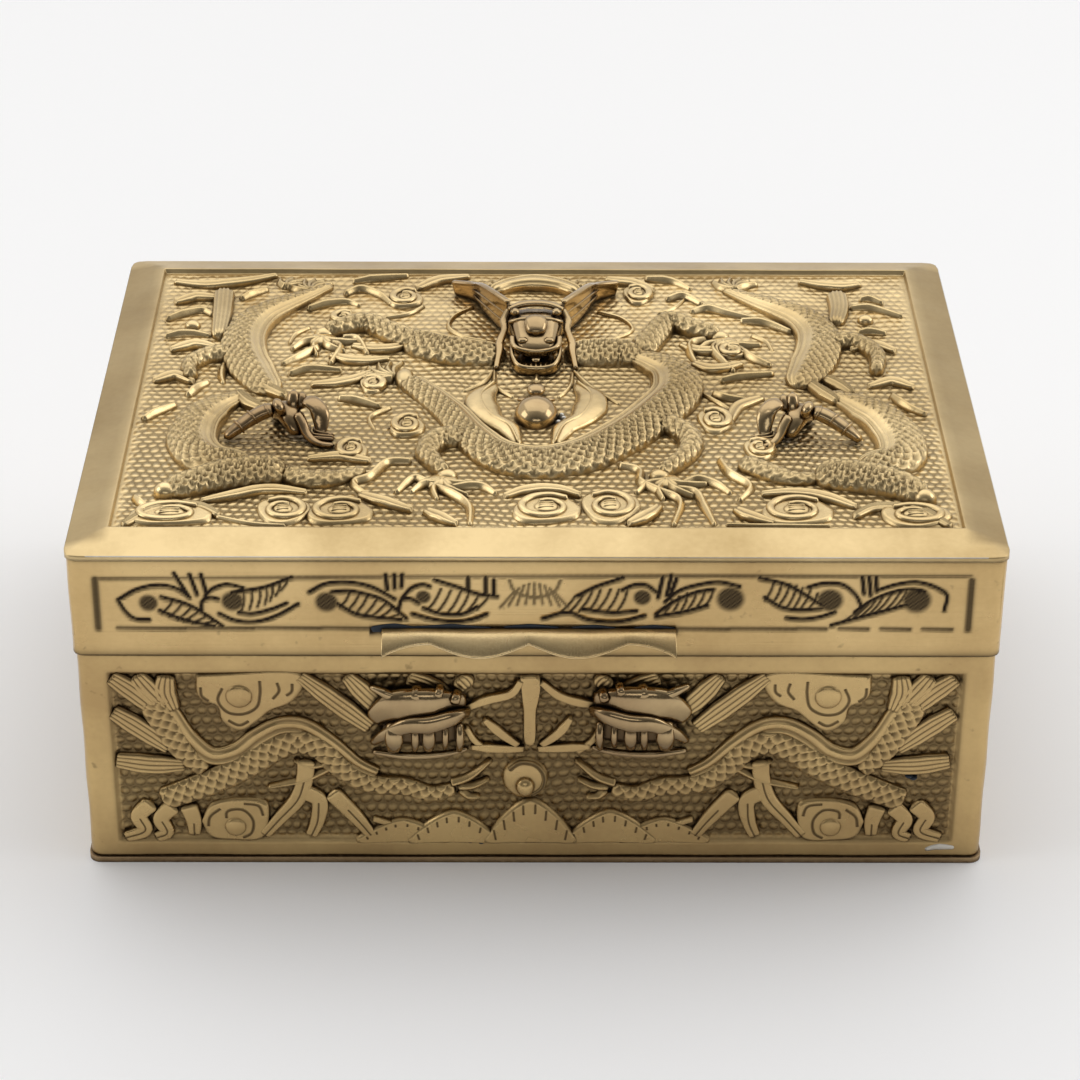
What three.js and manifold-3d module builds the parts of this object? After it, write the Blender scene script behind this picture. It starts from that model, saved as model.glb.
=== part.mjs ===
// A rectangular repousse brass box with a lift-off lid.
// The lid carries a frontal dragon with a fiery pearl between two side dragons, over clouds.
// The front wall carries two dragons that face a pearl over waves. Millimetres, +Z up.
// The origin is the centre of the underside, +X runs to the right and the front faces -Y.
import * as THREE from 'three';
import { mergeVertices } from 'three/addons/utils/BufferGeometryUtils.js';
import Module from 'manifold-3d';

const wasm = await Module();
wasm.setup();

// Driving dimensions of the box
const LID_WIDTH = 165;
const LID_DEPTH = 118;
const BODY_HEIGHT = 45.3;
const BAND_HEIGHT = 19.7;
const PLATE_RIM = 1.0;
const BODY_INSET = 0.5;
const WALL = 1.6;
const BASE_THICKNESS = 1.2;
const BASE_OVERHANG = 0.4;
const PLATE_OVERHANG = 0.3;
const CORNER_RADIUS = 2.2;

// Sloping border of the lid and the sunk field inside it
const BORDER_WIDTH = 7.3;
const BORDER_RISE = 1.8;
const FIELD_SINK = 1.0;

// Sunk panels of the walls
const PANEL_SINK = 0.8;
const PANEL_SIDE_MARGIN = 5.4;
const PANEL_BOTTOM_MARGIN = 4.6;
const PANEL_TOP_MARGIN = 4.0;
const QUIET_PITCH = 38;

// Relief
const ROOT = 0.35;
const HEAD_GAP = 0.35;
const HEAD_HEIGHT = 8.4;
const SIDE_HEAD_HEIGHT = 7.4;
const FRONT_HEAD_REACH = 5.6;
const PEARL_HEIGHT = 4.0;
const EAR_THICKNESS = 0.9;
const EAR_LEAN = 0.35;

// Scalloped lip for the thumb
const LIP_WIDTH = 52;
const LIP_THICKNESS = 1.0;
const LIP_REACH = 4.6;
const LIP_ABOVE_SEAM = 5.6;

// The relief is drawn on a field of this size, and follows the lid and walls if they change
const DRAWN_FIELD = { width: 150, depth: 103 };
const DRAWN_FRONT = { width: 153, height: 36.7 };

const BODY_WIDTH = LID_WIDTH - 2 * BODY_INSET;
const BODY_DEPTH = LID_DEPTH - 2 * BODY_INSET;
const RIM_TOP = BODY_HEIGHT + BAND_HEIGHT + PLATE_RIM;
const FIELD_TOP = RIM_TOP + BORDER_RISE - FIELD_SINK;
const FIELD_WIDTH = LID_WIDTH - 2 * BORDER_WIDTH;
const FIELD_DEPTH = LID_DEPTH - 2 * BORDER_WIDTH;

const brass = new THREE.MeshStandardMaterial({ color: 0xc4a467, roughness: 0.34, metalness: 1 });
const polishedBrass = new THREE.MeshStandardMaterial({ color: 0xb08a52, roughness: 0.18, metalness: 1 });

// Solid and mesh conversion

function toSolid(geometry) {
  const bare = geometry.clone();
  bare.deleteAttribute('normal');
  bare.deleteAttribute('uv');
  const merged = mergeVertices(bare, 1e-5);
  const mesh = new wasm.Mesh({
    numProp: 3,
    vertProperties: new Float32Array(merged.attributes.position.array),
    triVerts: new Uint32Array(merged.index.array),
  });
  return new wasm.Manifold(mesh);
}

function toMesh(name, solid, material) {
  const result = solid.getMesh();
  const geometry = new THREE.BufferGeometry();
  geometry.setAttribute('position', new THREE.BufferAttribute(new Float32Array(result.vertProperties), 3));
  geometry.setIndex(new THREE.BufferAttribute(new Uint32Array(result.triVerts), 1));
  geometry.computeVertexNormals();
  const mesh = new THREE.Mesh(geometry, material);
  mesh.name = name;
  return mesh;
}

function joined(solids) {
  return solids.reduce((whole, piece) => whole.add(piece));
}

function box(x0, x1, y0, y1, z0, z1) {
  const geometry = new THREE.BoxGeometry(x1 - x0, y1 - y0, z1 - z0);
  geometry.translate((x0 + x1) / 2, (y0 + y1) / 2, (z0 + z1) / 2);
  return toSolid(geometry);
}

// Places that a relief is worked on. Each matrix takes (across, up the face, outward) to the box.

const rows = (...values) => new THREE.Matrix4().set(...values, 0, 0, 0, 1);
const frontGround = BODY_DEPTH / 2 - PANEL_SINK;
const endGround = BODY_WIDTH / 2 - PANEL_SINK;
const onLid = rows(1, 0, 0, 0, 0, 1, 0, 0, 0, 0, 1, FIELD_TOP);
const onFront = rows(1, 0, 0, 0, 0, 0, -1, -frontGround, 0, 1, 0, 0);
const onBack = rows(-1, 0, 0, 0, 0, 0, 1, frontGround, 0, 1, 0, 0);
const onRight = rows(0, 0, 1, endGround, 1, 0, 0, 0, 0, 1, 0, 0);
const onLeft = rows(0, 0, -1, -endGround, -1, 0, 0, 0, 0, 1, 0, 0);

const PANEL_HEIGHT = BODY_HEIGHT - PANEL_BOTTOM_MARGIN - PANEL_TOP_MARGIN;
const frontPanelWidth = BODY_WIDTH - 2 * PANEL_SIDE_MARGIN;
const endPanelWidth = BODY_DEPTH - 2 * PANEL_SIDE_MARGIN;

const lidPoint = (x, y) => [x * FIELD_WIDTH / DRAWN_FIELD.width, y * FIELD_DEPTH / DRAWN_FIELD.depth];
const wallPoint = (u, v) => [
  u * frontPanelWidth / DRAWN_FRONT.width,
  PANEL_BOTTOM_MARGIN + (v - PANEL_BOTTOM_MARGIN) * PANEL_HEIGHT / DRAWN_FRONT.height,
];

// Raised forms

function valueAlong(values, t) {
  if (typeof values === 'number') return values;
  const place = t * (values.length - 1);
  const index = Math.min(Math.floor(place), values.length - 2);
  return values[index] + (values[index + 1] - values[index]) * (place - index);
}

// A raised form that follows a line: an elliptical section above the ground and a short root below
// it. A third number in a point lifts the form's middle line off the ground.
function ridge(points, width, height, { sides = 6, steps = points.length + 1, root = ROOT, blunt = 0.6 } = {}) {
  const lifted = points.map(([x, y, z = 0]) => new THREE.Vector3(x, y, z));
  const curve = new THREE.CatmullRomCurve3(lifted, false, 'centripetal');
  const geometry = new THREE.CylinderGeometry(1, 1, 1, sides, steps);
  const position = geometry.attributes.position;
  for (let i = 0; i < position.count; i += 1) {
    const t = THREE.MathUtils.clamp(position.getY(i) + 0.5, 0, 1);
    const centre = curve.getPointAt(t);
    const along = curve.getTangentAt(t);
    const flat = Math.hypot(along.x, along.y) || 1;
    const atEnd = t < 1e-6 || t > 1 - 1e-6;
    const shrink = atEnd ? blunt : 1;
    const across = position.getZ(i) * valueAlong(width, t) / 2 * shrink;
    const up = position.getX(i);
    const rise = up > 0 ? up * valueAlong(height, t) * shrink : up * root;
    position.setXYZ(i, centre.x - along.y / flat * across, centre.y + along.x / flat * across, centre.z + rise);
  }
  return geometry;
}

// A flat-topped form cut from the outline of a closed smooth line
function plaque(points, height) {
  const outline = new THREE.Shape(new THREE.SplineCurve(
    [...points, points[0]].map(([x, y]) => new THREE.Vector2(x, y))).getPoints(2 * points.length).slice(0, -1));
  const geometry = new THREE.ExtrudeGeometry(outline, { depth: height + ROOT, bevelEnabled: false });
  geometry.translate(0, 0, -ROOT);
  return geometry;
}

// A low dome on the ground
function dome([x, y], radiusX, radiusY, height, segments = 8) {
  const geometry = new THREE.SphereGeometry(1, segments, 4);
  geometry.rotateX(Math.PI / 2);
  const position = geometry.attributes.position;
  for (let i = 0; i < position.count; i += 1) {
    const up = position.getZ(i);
    position.setXYZ(i, x + position.getX(i) * radiusX, y + position.getY(i) * radiusY,
      up > 0 ? up * height : up * ROOT);
  }
  return geometry;
}

// A thin sheet that stands on the ground along a line and leans sideways as it rises
function sheet(points, heights, thickness, lean, steps = 8) {
  const curve = new THREE.CatmullRomCurve3(points.map(([x, y]) => new THREE.Vector3(x, y, 0)), false, 'centripetal');
  const geometry = new THREE.BoxGeometry(1, 1, 1, steps, 1, 1);
  const position = geometry.attributes.position;
  for (let i = 0; i < position.count; i += 1) {
    const t = THREE.MathUtils.clamp(position.getX(i) + 0.5, 0, 1);
    const centre = curve.getPointAt(t);
    const along = curve.getTangentAt(t);
    const rise = (position.getZ(i) + 0.5) * valueAlong(heights, t);
    const across = position.getY(i) * thickness + lean * rise * t;
    position.setXYZ(i, centre.x - along.y * across, centre.y + along.x * across, rise);
  }
  return geometry;
}

// A spiral cloud: one broad curl that winds in to its middle
function cloud([x, y], radiusX, radiusY, height, turn) {
  const curl = [];
  for (let step = 0; step <= 5; step += 1) {
    const angle = turn * step * 1.15 + 0.6;
    const reach = 0.86 - 0.14 * step;
    curl.push([x + Math.cos(angle) * radiusX * reach, y + Math.sin(angle) * radiusY * reach]);
  }
  return ridge(curl, [2, 2.6, 1.8], height, { sides: 4, steps: 6 });
}

const mirrored = points => points.map(([x, y, ...rest]) => [-x, y, ...rest]);

// The relief on the lid, in the drawn field's millimetres

const COIL_WIDTH = [9, 10, 10, 10, 10.4, 10, 10, 10.4, 9.4, 7.4, 6.4, 5];
const coil = [[5.5, 14.4], [13, 15], [20, 14], [25.6, 8], [26.4, 0], [22, -9], [16, -18], [8, -25.6], [0, -28],
  [-7, -25], [-12, -17.5], [-15.8, -9], [-20, -2], [-24.6, 4.5]];
const neckLeft = [[-6, 14.6], [-13, 15], [-19, 18], [-22, 20.5]];

const centreLimbs = [
  { line: [[-20, 18], [-27, 22.5], [-33.4, 27.6], [-38, 25.4], [-41.4, 23.4]], width: [6, 5, 3], height: 2.4 },
  { line: [[20, 15], [23, 22], [26.6, 28.6], [31, 25.2], [36, 22.2]], width: [6, 5, 3], height: 2.4 },
  { line: [[-12.6, -18], [-18, -19.4], [-20, -24], [-18.4, -29], [-16.2, -33]], width: [6, 4.4, 2.4], height: 2.2 },
  { line: [[23, -12], [28, -18], [28, -23.6], [24.6, -29.6], [22.2, -33]], width: [5, 4.4, 2.4], height: 2.2 },
];

// Fingers, toes and long claws of the centre dragon
const CLAW_WIDTH = [1.5, 1.7, 1.1];
const centreClaws = [
  [[-42, 18.4], [-45, 15], [-49, 11]],
  [[-40, 20], [-38, 18.6], [-39.6, 11.4]],
  [[-38, 22.2], [-35, 21.6], [-32.4, 15.4]],
  [[33.6, 22], [30.2, 20], [30, 16], [31, 11.6]],
  [[37, 22], [34.4, 18], [36, 13], [38.2, 8.4]],
  [[39.2, 18.6], [41.6, 14.4], [45.4, 11]],
  [[-16.4, -33.6], [-19, -35.6], [-22, -33.4], [-25.4, -38.6]],
  [[-19.6, -35.6], [-15.6, -38.6], [-12.2, -43], [-11.8, -50]],
  [[-15.6, -36.8], [-10, -36.2], [-7, -39.2]],
  [[14.8, -28.2], [18.6, -30.4], [18.8, -34.8], [22, -38], [25.4, -41], [24, -50]],
  [[24.8, -36.8], [28.4, -38.4], [30, -44], [31.4, -50]],
  [[26, -35.4], [28.8, -33.6], [32.4, -35.4], [35, -39]],
  [[33.4, -26], [35, -31.4], [38.4, -36.2], [36, -41.4]],
  [[-22.6, -27], [-27, -27.4], [-30.4, -33], [-33, -35], [-29.8, -40]],
];

// The side dragons, left then right: they answer each other but aren't exact mirrors
const sideDragons = [
  {
    body: [[-43, 44], [-46, 40.4], [-51, 35.4], [-55.6, 29.4], [-57, 21], [-56, 13], [-53.6, 6], [-50.6, 0]],
    loop: [[-57, -3], [-61, -8], [-63, -15], [-63, -21.4], [-60, -26.6], [-54, -28.6]],
    limb: [[-46, -31.6], [-52, -32.8], [-58, -34.4], [-63, -37.4], [-66, -39.4]],
    tip: [[-44, -32], [-41, -34.6], [-36, -33.6], [-31, -31]],
    stub: [[-62.4, 42], [-62, 32], [-61.8, 22]],
    leg: [[-58, 14], [-63, 13.4], [-66, 10], [-65.6, 5.6]],
    toes: [
      [[-73, 30.2], [-69, 33], [-66, 34.2], [-63.6, 32]],
      [[-72.6, 22.6], [-70, 23.6], [-67, 24], [-63.4, 23]],
      [[-73.4, -11.4], [-71, -8.4], [-67.4, -5]],
      [[-59, 39], [-56.4, 41.8], [-53.4, 43.8]],
      [[-45.4, 35], [-41, 37.4], [-37.4, 38], [-34.6, 36]],
      [[-38.4, 41.6], [-35.4, 43.8], [-31.4, 41.6], [-28.4, 37]],
      [[-37, 47.2], [-31.4, 48.8], [-25.4, 50.2]],
      [[-47.4, 7], [-43.4, 9.2], [-37, 8.8]],
      [[-37.6, -2.6], [-33.4, -3.8], [-29, -6]],
      [[-72, -40], [-70, -43], [-67.4, -46]],
    ],
    ball: [-67.4, 27.2],
  },
  {
    body: [[39.6, 42], [44, 38.4], [49, 34], [53.2, 29.4], [55.2, 23], [54.6, 16], [52.4, 9], [50, 3]],
    loop: [[57.4, -2], [61.4, -7], [65, -13], [67, -20], [66, -26.4], [60, -29]],
    limb: [[51, -32.6], [56, -33.6], [61, -34.8], [66, -37.4], [69, -41]],
    tip: [[38, -28.6], [42, -31.4], [46, -33.6], [51, -33]],
    stub: [[60.4, 42.4], [60.4, 35], [59.2, 28]],
    leg: [[57, 20], [62, 20], [65.4, 15], [65.2, 8.4]],
    toes: [
      [[62.4, 35.6], [66, 35.8], [73, 32]],
      [[63, 24.8], [66, 25.4], [69, 24.6]],
      [[67.2, -0.8], [69.4, -5], [73.2, -8.8]],
      [[64.6, 39.4], [67, 39.6], [69.6, 37.8]],
      [[30.6, 33.6], [34, 35.4], [38, 33.4], [43.4, 31]],
      [[26, 39.4], [29.6, 41], [33.4, 37.2]],
      [[22, 49], [28, 47.4], [31.6, 43.6]],
      [[35, 4.8], [40, 6.4], [45.8, 7.8]],
      [[33.2, -0.4], [36, -2.4], [40, -3]],
      [[40.2, 30], [45, 29.2], [50.4, 25.2]],
    ],
    ball: [65.2, 30.2],
  },
];

const lidClouds = [
  { at: [-65, -46.6], size: [7, 3.6], turn: 1 },
  { at: [-42.6, -45.4], size: [4.6, 4], turn: -1 },
  { at: [-34, -45.4], size: [5.6, 4.2], turn: 1 },
  { at: [0.8, -44.4], size: [4.6, 4.8], turn: 1 },
  { at: [11.4, -43.8], size: [4, 5.4], turn: -1 },
  { at: [46, -45], size: [5.6, 4.8], turn: 1 },
  { at: [67, -46.8], size: [5.6, 3.6], turn: -1 },
  { at: [-26, 39.6], size: [3, 3.6], turn: 1 },
  { at: [20.6, 41.4], size: [2.4, 3.6], turn: -1 },
  { at: [-22, -12.6], size: [3, 4], turn: 1 },
  { at: [29.8, -11.4], size: [3.6, 4.4], turn: -1 },
  { at: [-34, -23], size: [2.6, 3.6], turn: 1 },
  { at: [40, -22.4], size: [2.8, 3.4], turn: -1 },
];

function tuft([x, y], direction, spread, length, count) {
  const hairs = [];
  for (let i = 0; i < count; i += 1) {
    const angle = direction + spread * (i / (count - 1) - 0.5);
    const tip = [x + Math.cos(angle) * length, y + Math.sin(angle) * length];
    hairs.push(ridge([[x, y], tip], [1.9, 1.1], [1.5, 0.7], { sides: 4, steps: 1 }));
  }
  return hairs;
}

function lidRelief() {
  const at = points => points.map(([x, y, ...rest]) => [...lidPoint(x, y), ...rest]);
  const forms = [
    ridge(at(coil), COIL_WIDTH, [2.6, 2.8, 2.8, 2.8, 2.4, 1.8], { steps: 20 }),
    ridge(at(neckLeft), [9, 9, 7], 2.6, { steps: 4 }),
    ridge(at([[-8.6, 42.6], [-5, 45.4], [0, 46.6], [5, 45.2], [8.6, 42]]), 4.6, 2.2, { steps: 6 }),
    ridge(at([[0, 10.6], [0, 4.6]]), 1.4, 0.9, { sides: 4, steps: 2 }),
    ...tuft(lidPoint(-27, 5), THREE.MathUtils.degToRad(126), 1.7, 7, 5),
    ...tuft(lidPoint(-45, 43), THREE.MathUtils.degToRad(94), 1.5, 5.4, 4),
    ...tuft(lidPoint(40, 43.6), THREE.MathUtils.degToRad(86), 1.5, 5.4, 4),
  ];
  for (const { line, width, height } of centreLimbs) forms.push(ridge(at(line), width, height, { steps: 7 }));
  for (const line of centreClaws) forms.push(ridge(at(line), CLAW_WIDTH, [1.2, 1.4, 0.9], { sides: 4, steps: line.length }));
  for (const side of [-1, 1]) {
    const flame = [[7.4, 3], [9, -5], [7.4, -13], [3.6, -21.6]];
    forms.push(ridge(at(side > 0 ? flame : mirrored(flame)), [2, 6, 5, 1.6], 1.3, { steps: 5 }));
  }
  for (const { body, loop, limb, tip, stub, leg, toes, ball } of sideDragons) {
    forms.push(ridge(at(body), [5, 7.4, 8, 7.6], [1.8, 2.4, 2.4], { steps: 12 }));
    forms.push(ridge(at(loop), [6, 8, 8, 7], 2.2, { steps: 9 }));
    forms.push(ridge(at(limb), [8.4, 7.6, 4.6], [3, 3.2, 2.4], { steps: 6 }));
    forms.push(ridge(at(tip), [4.6, 4, 2], [2, 1.8, 1], { steps: 4 }));
    forms.push(ridge(at(stub), [4.4, 4, 3], 1.9, { steps: 3 }));
    forms.push(ridge(at(leg), [4.2, 3.6, 2.4], 2, { steps: 5 }));
    forms.push(dome(lidPoint(...ball), 1.5, 1.3, 1.4, 6));
    for (const line of toes) forms.push(ridge(at(line), CLAW_WIDTH, [1.1, 1.5, 1], { sides: 4, steps: line.length }));
  }
  for (const { at: place, size, turn } of lidClouds) forms.push(cloud(lidPoint(...place), ...size, 1.2, turn));
  return forms;
}

// The relief on the front wall, in the drawn panel's millimetres

const FLUSH = PANEL_SINK + 0.1;
const frontDragon = [[-67, 33.4], [-64.6, 26.8], [-61, 22], [-56, 20.4], [-51, 23.6], [-46, 27.2], [-41, 27], [-36.4, 22.4],
  [-31, 18.8], [-25, 16.6], [-19, 15], [-14.6, 16]];
const frontLegs = [
  [[-57, 18.4], [-63, 15.6], [-68.6, 13.4]],
  [[-45.6, 19], [-46.6, 13.6], [-44.4, 9.6], [-47.4, 5.6]],
  [[-41, 17.6], [-38.4, 12.4], [-33.4, 6]],
];
const frontPlumes = [
  [[-63, 31], [-64.4, 36], [-66, 40.4]],
  [[-67.6, 29.6], [-71, 35], [-75.4, 40]],
  [[-68.4, 26], [-72.4, 29.4], [-76.6, 32.4]],
  [[-39.6, 40], [-35, 34.4], [-30.6, 28.6]],
  [[-32.4, 40], [-29.6, 35.4], [-27, 31.6]],
  [[-70, 16.6], [-73.4, 18.4], [-75.4, 21]],
  [[-69.6, 12.6], [-71.6, 9], [-73, 5.6]],
  [[-66.4, 12], [-68, 9], [-66, 5.6]],
];
const frontClaws = [
  [[-14.4, 16.4], [-10.4, 19.4], [-8.4, 22]],
  [[-11.6, 17.6], [-8.4, 18.4]],
  [[-13.4, 15.6], [-11, 14.4]],
];
const waves = [
  { at: -1, half: 9, height: 9.4 },
  { at: -16.4, half: 9, height: 6.6 },
  { at: 14.4, half: 9, height: 6.6 },
  { at: -24.4, half: 7, height: 4.6 },
  { at: 22.8, half: 8, height: 5 },
];

function wave({ at: [x, y], half, height }) {
  const crest = [];
  for (let i = 0; i <= 6; i += 1) {
    const share = i / 3 - 1;
    crest.push(new THREE.Vector2(x + share * half, y + height * (1 - Math.abs(share) ** 1.5)));
  }
  const geometry = new THREE.ExtrudeGeometry(new THREE.Shape(crest), { depth: FLUSH + ROOT, bevelEnabled: false });
  geometry.translate(0, 0, -ROOT);
  return geometry;
}

const hangingCloud = [[-60.6, 39.8], [-60, 35.6], [-57, 34], [-56, 30.6], [-53.6, 28.6], [-50.6, 30.4], [-48, 33],
  [-44.8, 35.4], [-43, 39.8]];

function frontRelief() {
  const at = points => points.map(([u, v, ...rest]) => [...wallPoint(u, v), ...rest]);
  const bottom = PANEL_BOTTOM_MARGIN;
  const forms = [
    plaque(at([[-3, 40.6], [-2.2, 32], [-1.4, 25.4], [-0.6, 32], [0.2, 40.6]]), FLUSH),
    ridge(at([[-13.4, 33.4], [-9, 35.4], [-4.4, 37], [-1.2, 40]]), 2, FLUSH, { sides: 4, steps: 5 }),
    ridge(at([[1, 40], [4, 36.4], [8, 35], [11.4, 34.4]]), 2, FLUSH, { sides: 4, steps: 5 }),
    ridge(at([[-9.6, 31.6], [-6, 28], [-3.4, 25.8], [0.6, 25.6], [3.6, 28], [6, 32]]), 1.8, FLUSH, { sides: 4, steps: 8 }),
    dome(wallPoint(-2, 18.4), 4, 4.4, 1.6, 10),
    dome(wallPoint(-2, 17.6), 1.8, 2.2, 3, 8),
  ];
  for (const { at: place, half, height } of waves) forms.push(wave({ at: [wallPoint(place, 0)[0], bottom], half, height }));
  for (const side of [-1, 1]) {
    const turned = points => at((side < 0 ? points : mirrored(points)).map(([u, v]) => [side < 0 ? u : u - 1, v]));
    forms.push(ridge(turned(frontDragon), [5, 7, 8, 8.2, 8, 8, 7.6, 6.4, 5, 2.6], [1.4, 2, 2.2, 2, 1.4], { steps: 16 }));
    for (const line of frontLegs) forms.push(ridge(turned(line), [4.6, 3.4, 2.2], [1.8, 1.4, 1.2], { sides: 4, steps: 4 }));
    for (const line of frontPlumes) forms.push(ridge(turned(line), [1.8, 3.4, 2.6], 1.3, { sides: 4, steps: 2 }));
    for (const line of frontClaws) forms.push(ridge(turned(line), [2, 1.4, 0.8], 1.2, { sides: 4, steps: 2 }));
    forms.push(plaque(turned(hangingCloud), FLUSH));
    forms.push(cloud(turned([[-54.6, 9.4]])[0], 6.2, 4.6, 1.4, side));
  }
  return forms;
}

// Plainer relief for the hidden walls: waves along the foot and rolling cloud bands above

function quietRelief(panelWidth) {
  const forms = [];
  const count = Math.max(3, Math.round(panelWidth / QUIET_PITCH));
  const pitch = panelWidth / count;
  for (let i = 0; i < count; i += 1) {
    const centre = (i + 0.5) * pitch - panelWidth / 2;
    const middle = PANEL_BOTTOM_MARGIN + PANEL_HEIGHT * 0.62;
    const turn = i % 2 === 0 ? 1 : -1;
    forms.push(wave({ at: [centre, PANEL_BOTTOM_MARGIN], half: pitch * 0.46, height: PANEL_HEIGHT * 0.22 }));
    forms.push(cloud([centre, middle + turn * 3], pitch * 0.26, PANEL_HEIGHT * 0.17, 1.4, turn));
    const tail = [[centre - pitch * 0.46, middle - turn * 6], [centre, middle - turn * 8.4], [centre + pitch * 0.46, middle - turn * 6]];
    forms.push(ridge(tail, [1.6, 3.4, 1.6], 1.2, { sides: 4, steps: 4 }));
  }
  return forms;
}

// Heads, each on its own ground at z = 0 with the chin towards -Y

function aboveGround(solid) {
  const reach = 2 * LID_WIDTH;
  return solid.intersect(box(-reach, reach, -reach, reach, 0, reach));
}

function limb(points, width, height, options = {}) {
  return toSolid(ridge(points, width, height, { root: 1.4, sides: 6, ...options }));
}

function centreHead() {
  const h = HEAD_HEIGHT;
  const pieces = [
    limb([[0, 26, 0], [0, 21, h * 0.36], [0, 15.4, h * 0.42], [0, 9.6, 0]], [8.4, 10, 9, 7.4], [h * 0.3, h * 0.5, h * 0.4, h * 0.2], { root: h * 0.45 }),
    limb([[-4.4, 22.6, h * 0.7], [0, 23.4, h * 0.8], [4.4, 22.6, h * 0.7]], 2.4, 1.6),
    limb([[-3.2, 18.6, h * 0.62], [0, 18, h * 0.8], [3.2, 18.6, h * 0.62]], 3, 1.4),
    limb([[0, 18, h * 0.66], [0, 12.4, h * 0.34]], [4.4, 5.6], 1.8),
    limb([[-3.8, 15.4, 0.4], [-3.4, 8.4, 0.8], [0, 7.4, 1], [3.4, 8.4, 0.8], [3.8, 15.4, 0.4]], 1.8, 1.8, { steps: 8, sides: 4 }),
  ];
  const seats = [seatOutline([[-5.6, 26.6], [5.6, 26.6], [8.4, 9], [4.4, 6], [-4.4, 6], [-8.4, 9]])];
  const ear = [[4.2, 23], [7, 27.4], [9.8, 33.6], [11.8, 39], [16.4, 42.6]];
  for (const side of [-1, 1]) {
    const line = side > 0 ? ear : mirrored(ear);
    const earHeights = [h, h * 0.94, h * 0.78, h * 0.5, h * 0.34];
    pieces.push(toSolid(sheet(line, earHeights, EAR_THICKNESS, -side * EAR_LEAN)));
    seats.push(toSolid(sheet(line, earHeights, EAR_THICKNESS + 2 * HEAD_GAP, -side * EAR_LEAN)));
    const strut = [[side * 4, 23.4, 0], [side * 5.8, 15.6, 0], [side * 7.4, 9, 0]];
    pieces.push(limb(strut, 1.3, [4, 2.6, 1.2], { sides: 4, steps: 3 }));
  }
  return { solid: aboveGround(joined(pieces)), seat: joined(seats) };
}

function sideHead(side) {
  const h = SIDE_HEAD_HEIGHT;
  const turned = points => (side < 0 ? points : mirrored(points));
  const pieces = [
    limb(turned([[-1.4, 4, 0], [-0.4, 0.6, h * 0.5], [1, -3.4, h * 0.42], [3, -7.4, 0]]), [6, 7.6, 6.4, 4], [h * 0.3, h * 0.42, h * 0.32, 1], { root: h * 0.5 }),
    limb(turned([[-11, -5.4, 0], [-7.4, -4, h * 0.4], [-3.6, -2.4, h * 0.68], [0.4, -2, h * 0.8]]), [2.2, 2.8, 3], 1.7, { steps: 5 }),
    limb(turned([[0.4, -2, h * 0.74], [4, -3.6, h * 0.62], [6.4, -5.4, h * 0.3], [9.4, -6.8, 0]]), [3, 2, 1.6], 1.4, { steps: 5 }),
    limb(turned([[-0.6, -1, h * 0.72], [0.2, 1.4, h * 0.86]]), 2, 1.3, { steps: 2, sides: 6 }),
    limb(turned([[2.8, -2.6, h * 0.72], [3.4, 0.4, h * 0.86]]), 2, 1.3, { steps: 2, sides: 6 }),
    limb(turned([[3, -3, 1], [5.8, -1, 1.6], [7.4, 2, 1]]), 3, 2, { steps: 3, sides: 6 }),
  ];
  const seat = seatOutline(turned([[-12, -6.6], [-5, 4.6], [6, 5], [9.6, 2.4], [10.4, -7.8], [2, -9]]));
  return { solid: aboveGround(joined(pieces)), seat };
}

function frontHead(side) {
  const reach = FRONT_HEAD_REACH;
  const turned = points => (side < 0 ? points : mirrored(points));
  const pieces = [
    limb(turned([[8.4, 4.4, 0], [1.4, 4.6, reach * 0.5], [-5.4, 4, reach * 0.3], [-9, 2.4, 0]]), [4, 8, 7, 4], [1.4, reach * 0.5, reach * 0.36, 1], { root: reach * 0.5 }),
    limb(turned([[9, 1.4, 0], [6.6, 2.6, reach * 0.6], [2, 3, reach * 0.78], [-4, 2, reach * 0.6]]), [2.4, 3, 2.4], 1.2),
    limb(turned([[8.8, -4, 0], [5.6, -4.4, 2], [-1, -5, 2.4], [-9, -5.8, 0]]), [1.4, 1.8, 1.4], 1.2, { sides: 6 }),
  ];
  for (const tooth of [-5.6, -1.4, 2.8, 6.4]) {
    const line = turned([[tooth, 2.6, reach * 0.5], [tooth, -0.6, reach * 0.56], [tooth, -4.6, 2]]);
    pieces.push(limb(line, [3, 2, 1.6], 1.2, { sides: 4, steps: 3 }));
  }
  const seat = seatOutline([[-9.6, -6.8], [9.6, -6.8], [9.6, 8.8], [-9.6, 8.8]]);
  return { solid: aboveGround(joined(pieces)), seat };
}

// A head moved to its place in the ground's plane, then onto its face. The seat is the room that
// the relief leaves free for it: its outline, drawn out by the gap, and a sheet along each ear.

const movedTo = (solid, [x, y]) => solid.translate([x, y, 0]);
const onFace = (solid, matrix) => solid.transform(matrix.elements);
const seatHeight = 2 * HEAD_HEIGHT;

function seatOutline(points) {
  const [sumX, sumY] = points.reduce(([x, y], point) => [x + point[0], y + point[1]], [0, 0]);
  const [middleX, middleY] = [sumX / points.length, sumY / points.length];
  const outline = points.map(([x, y]) => {
    const reach = Math.hypot(x - middleX, y - middleY);
    const grow = 1 + 2 * HEAD_GAP / reach;
    return new THREE.Vector2(middleX + (x - middleX) * grow, middleY + (y - middleY) * grow);
  });
  const geometry = new THREE.ExtrudeGeometry(new THREE.Shape(outline), { depth: seatHeight, bevelEnabled: false });
  return toSolid(geometry.translate(0, 0, -ROOT));
}

function placed({ solid, seat }, place, face) {
  return { solid: movedTo(solid, place), seat: movedTo(seat, place), face };
}

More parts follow.
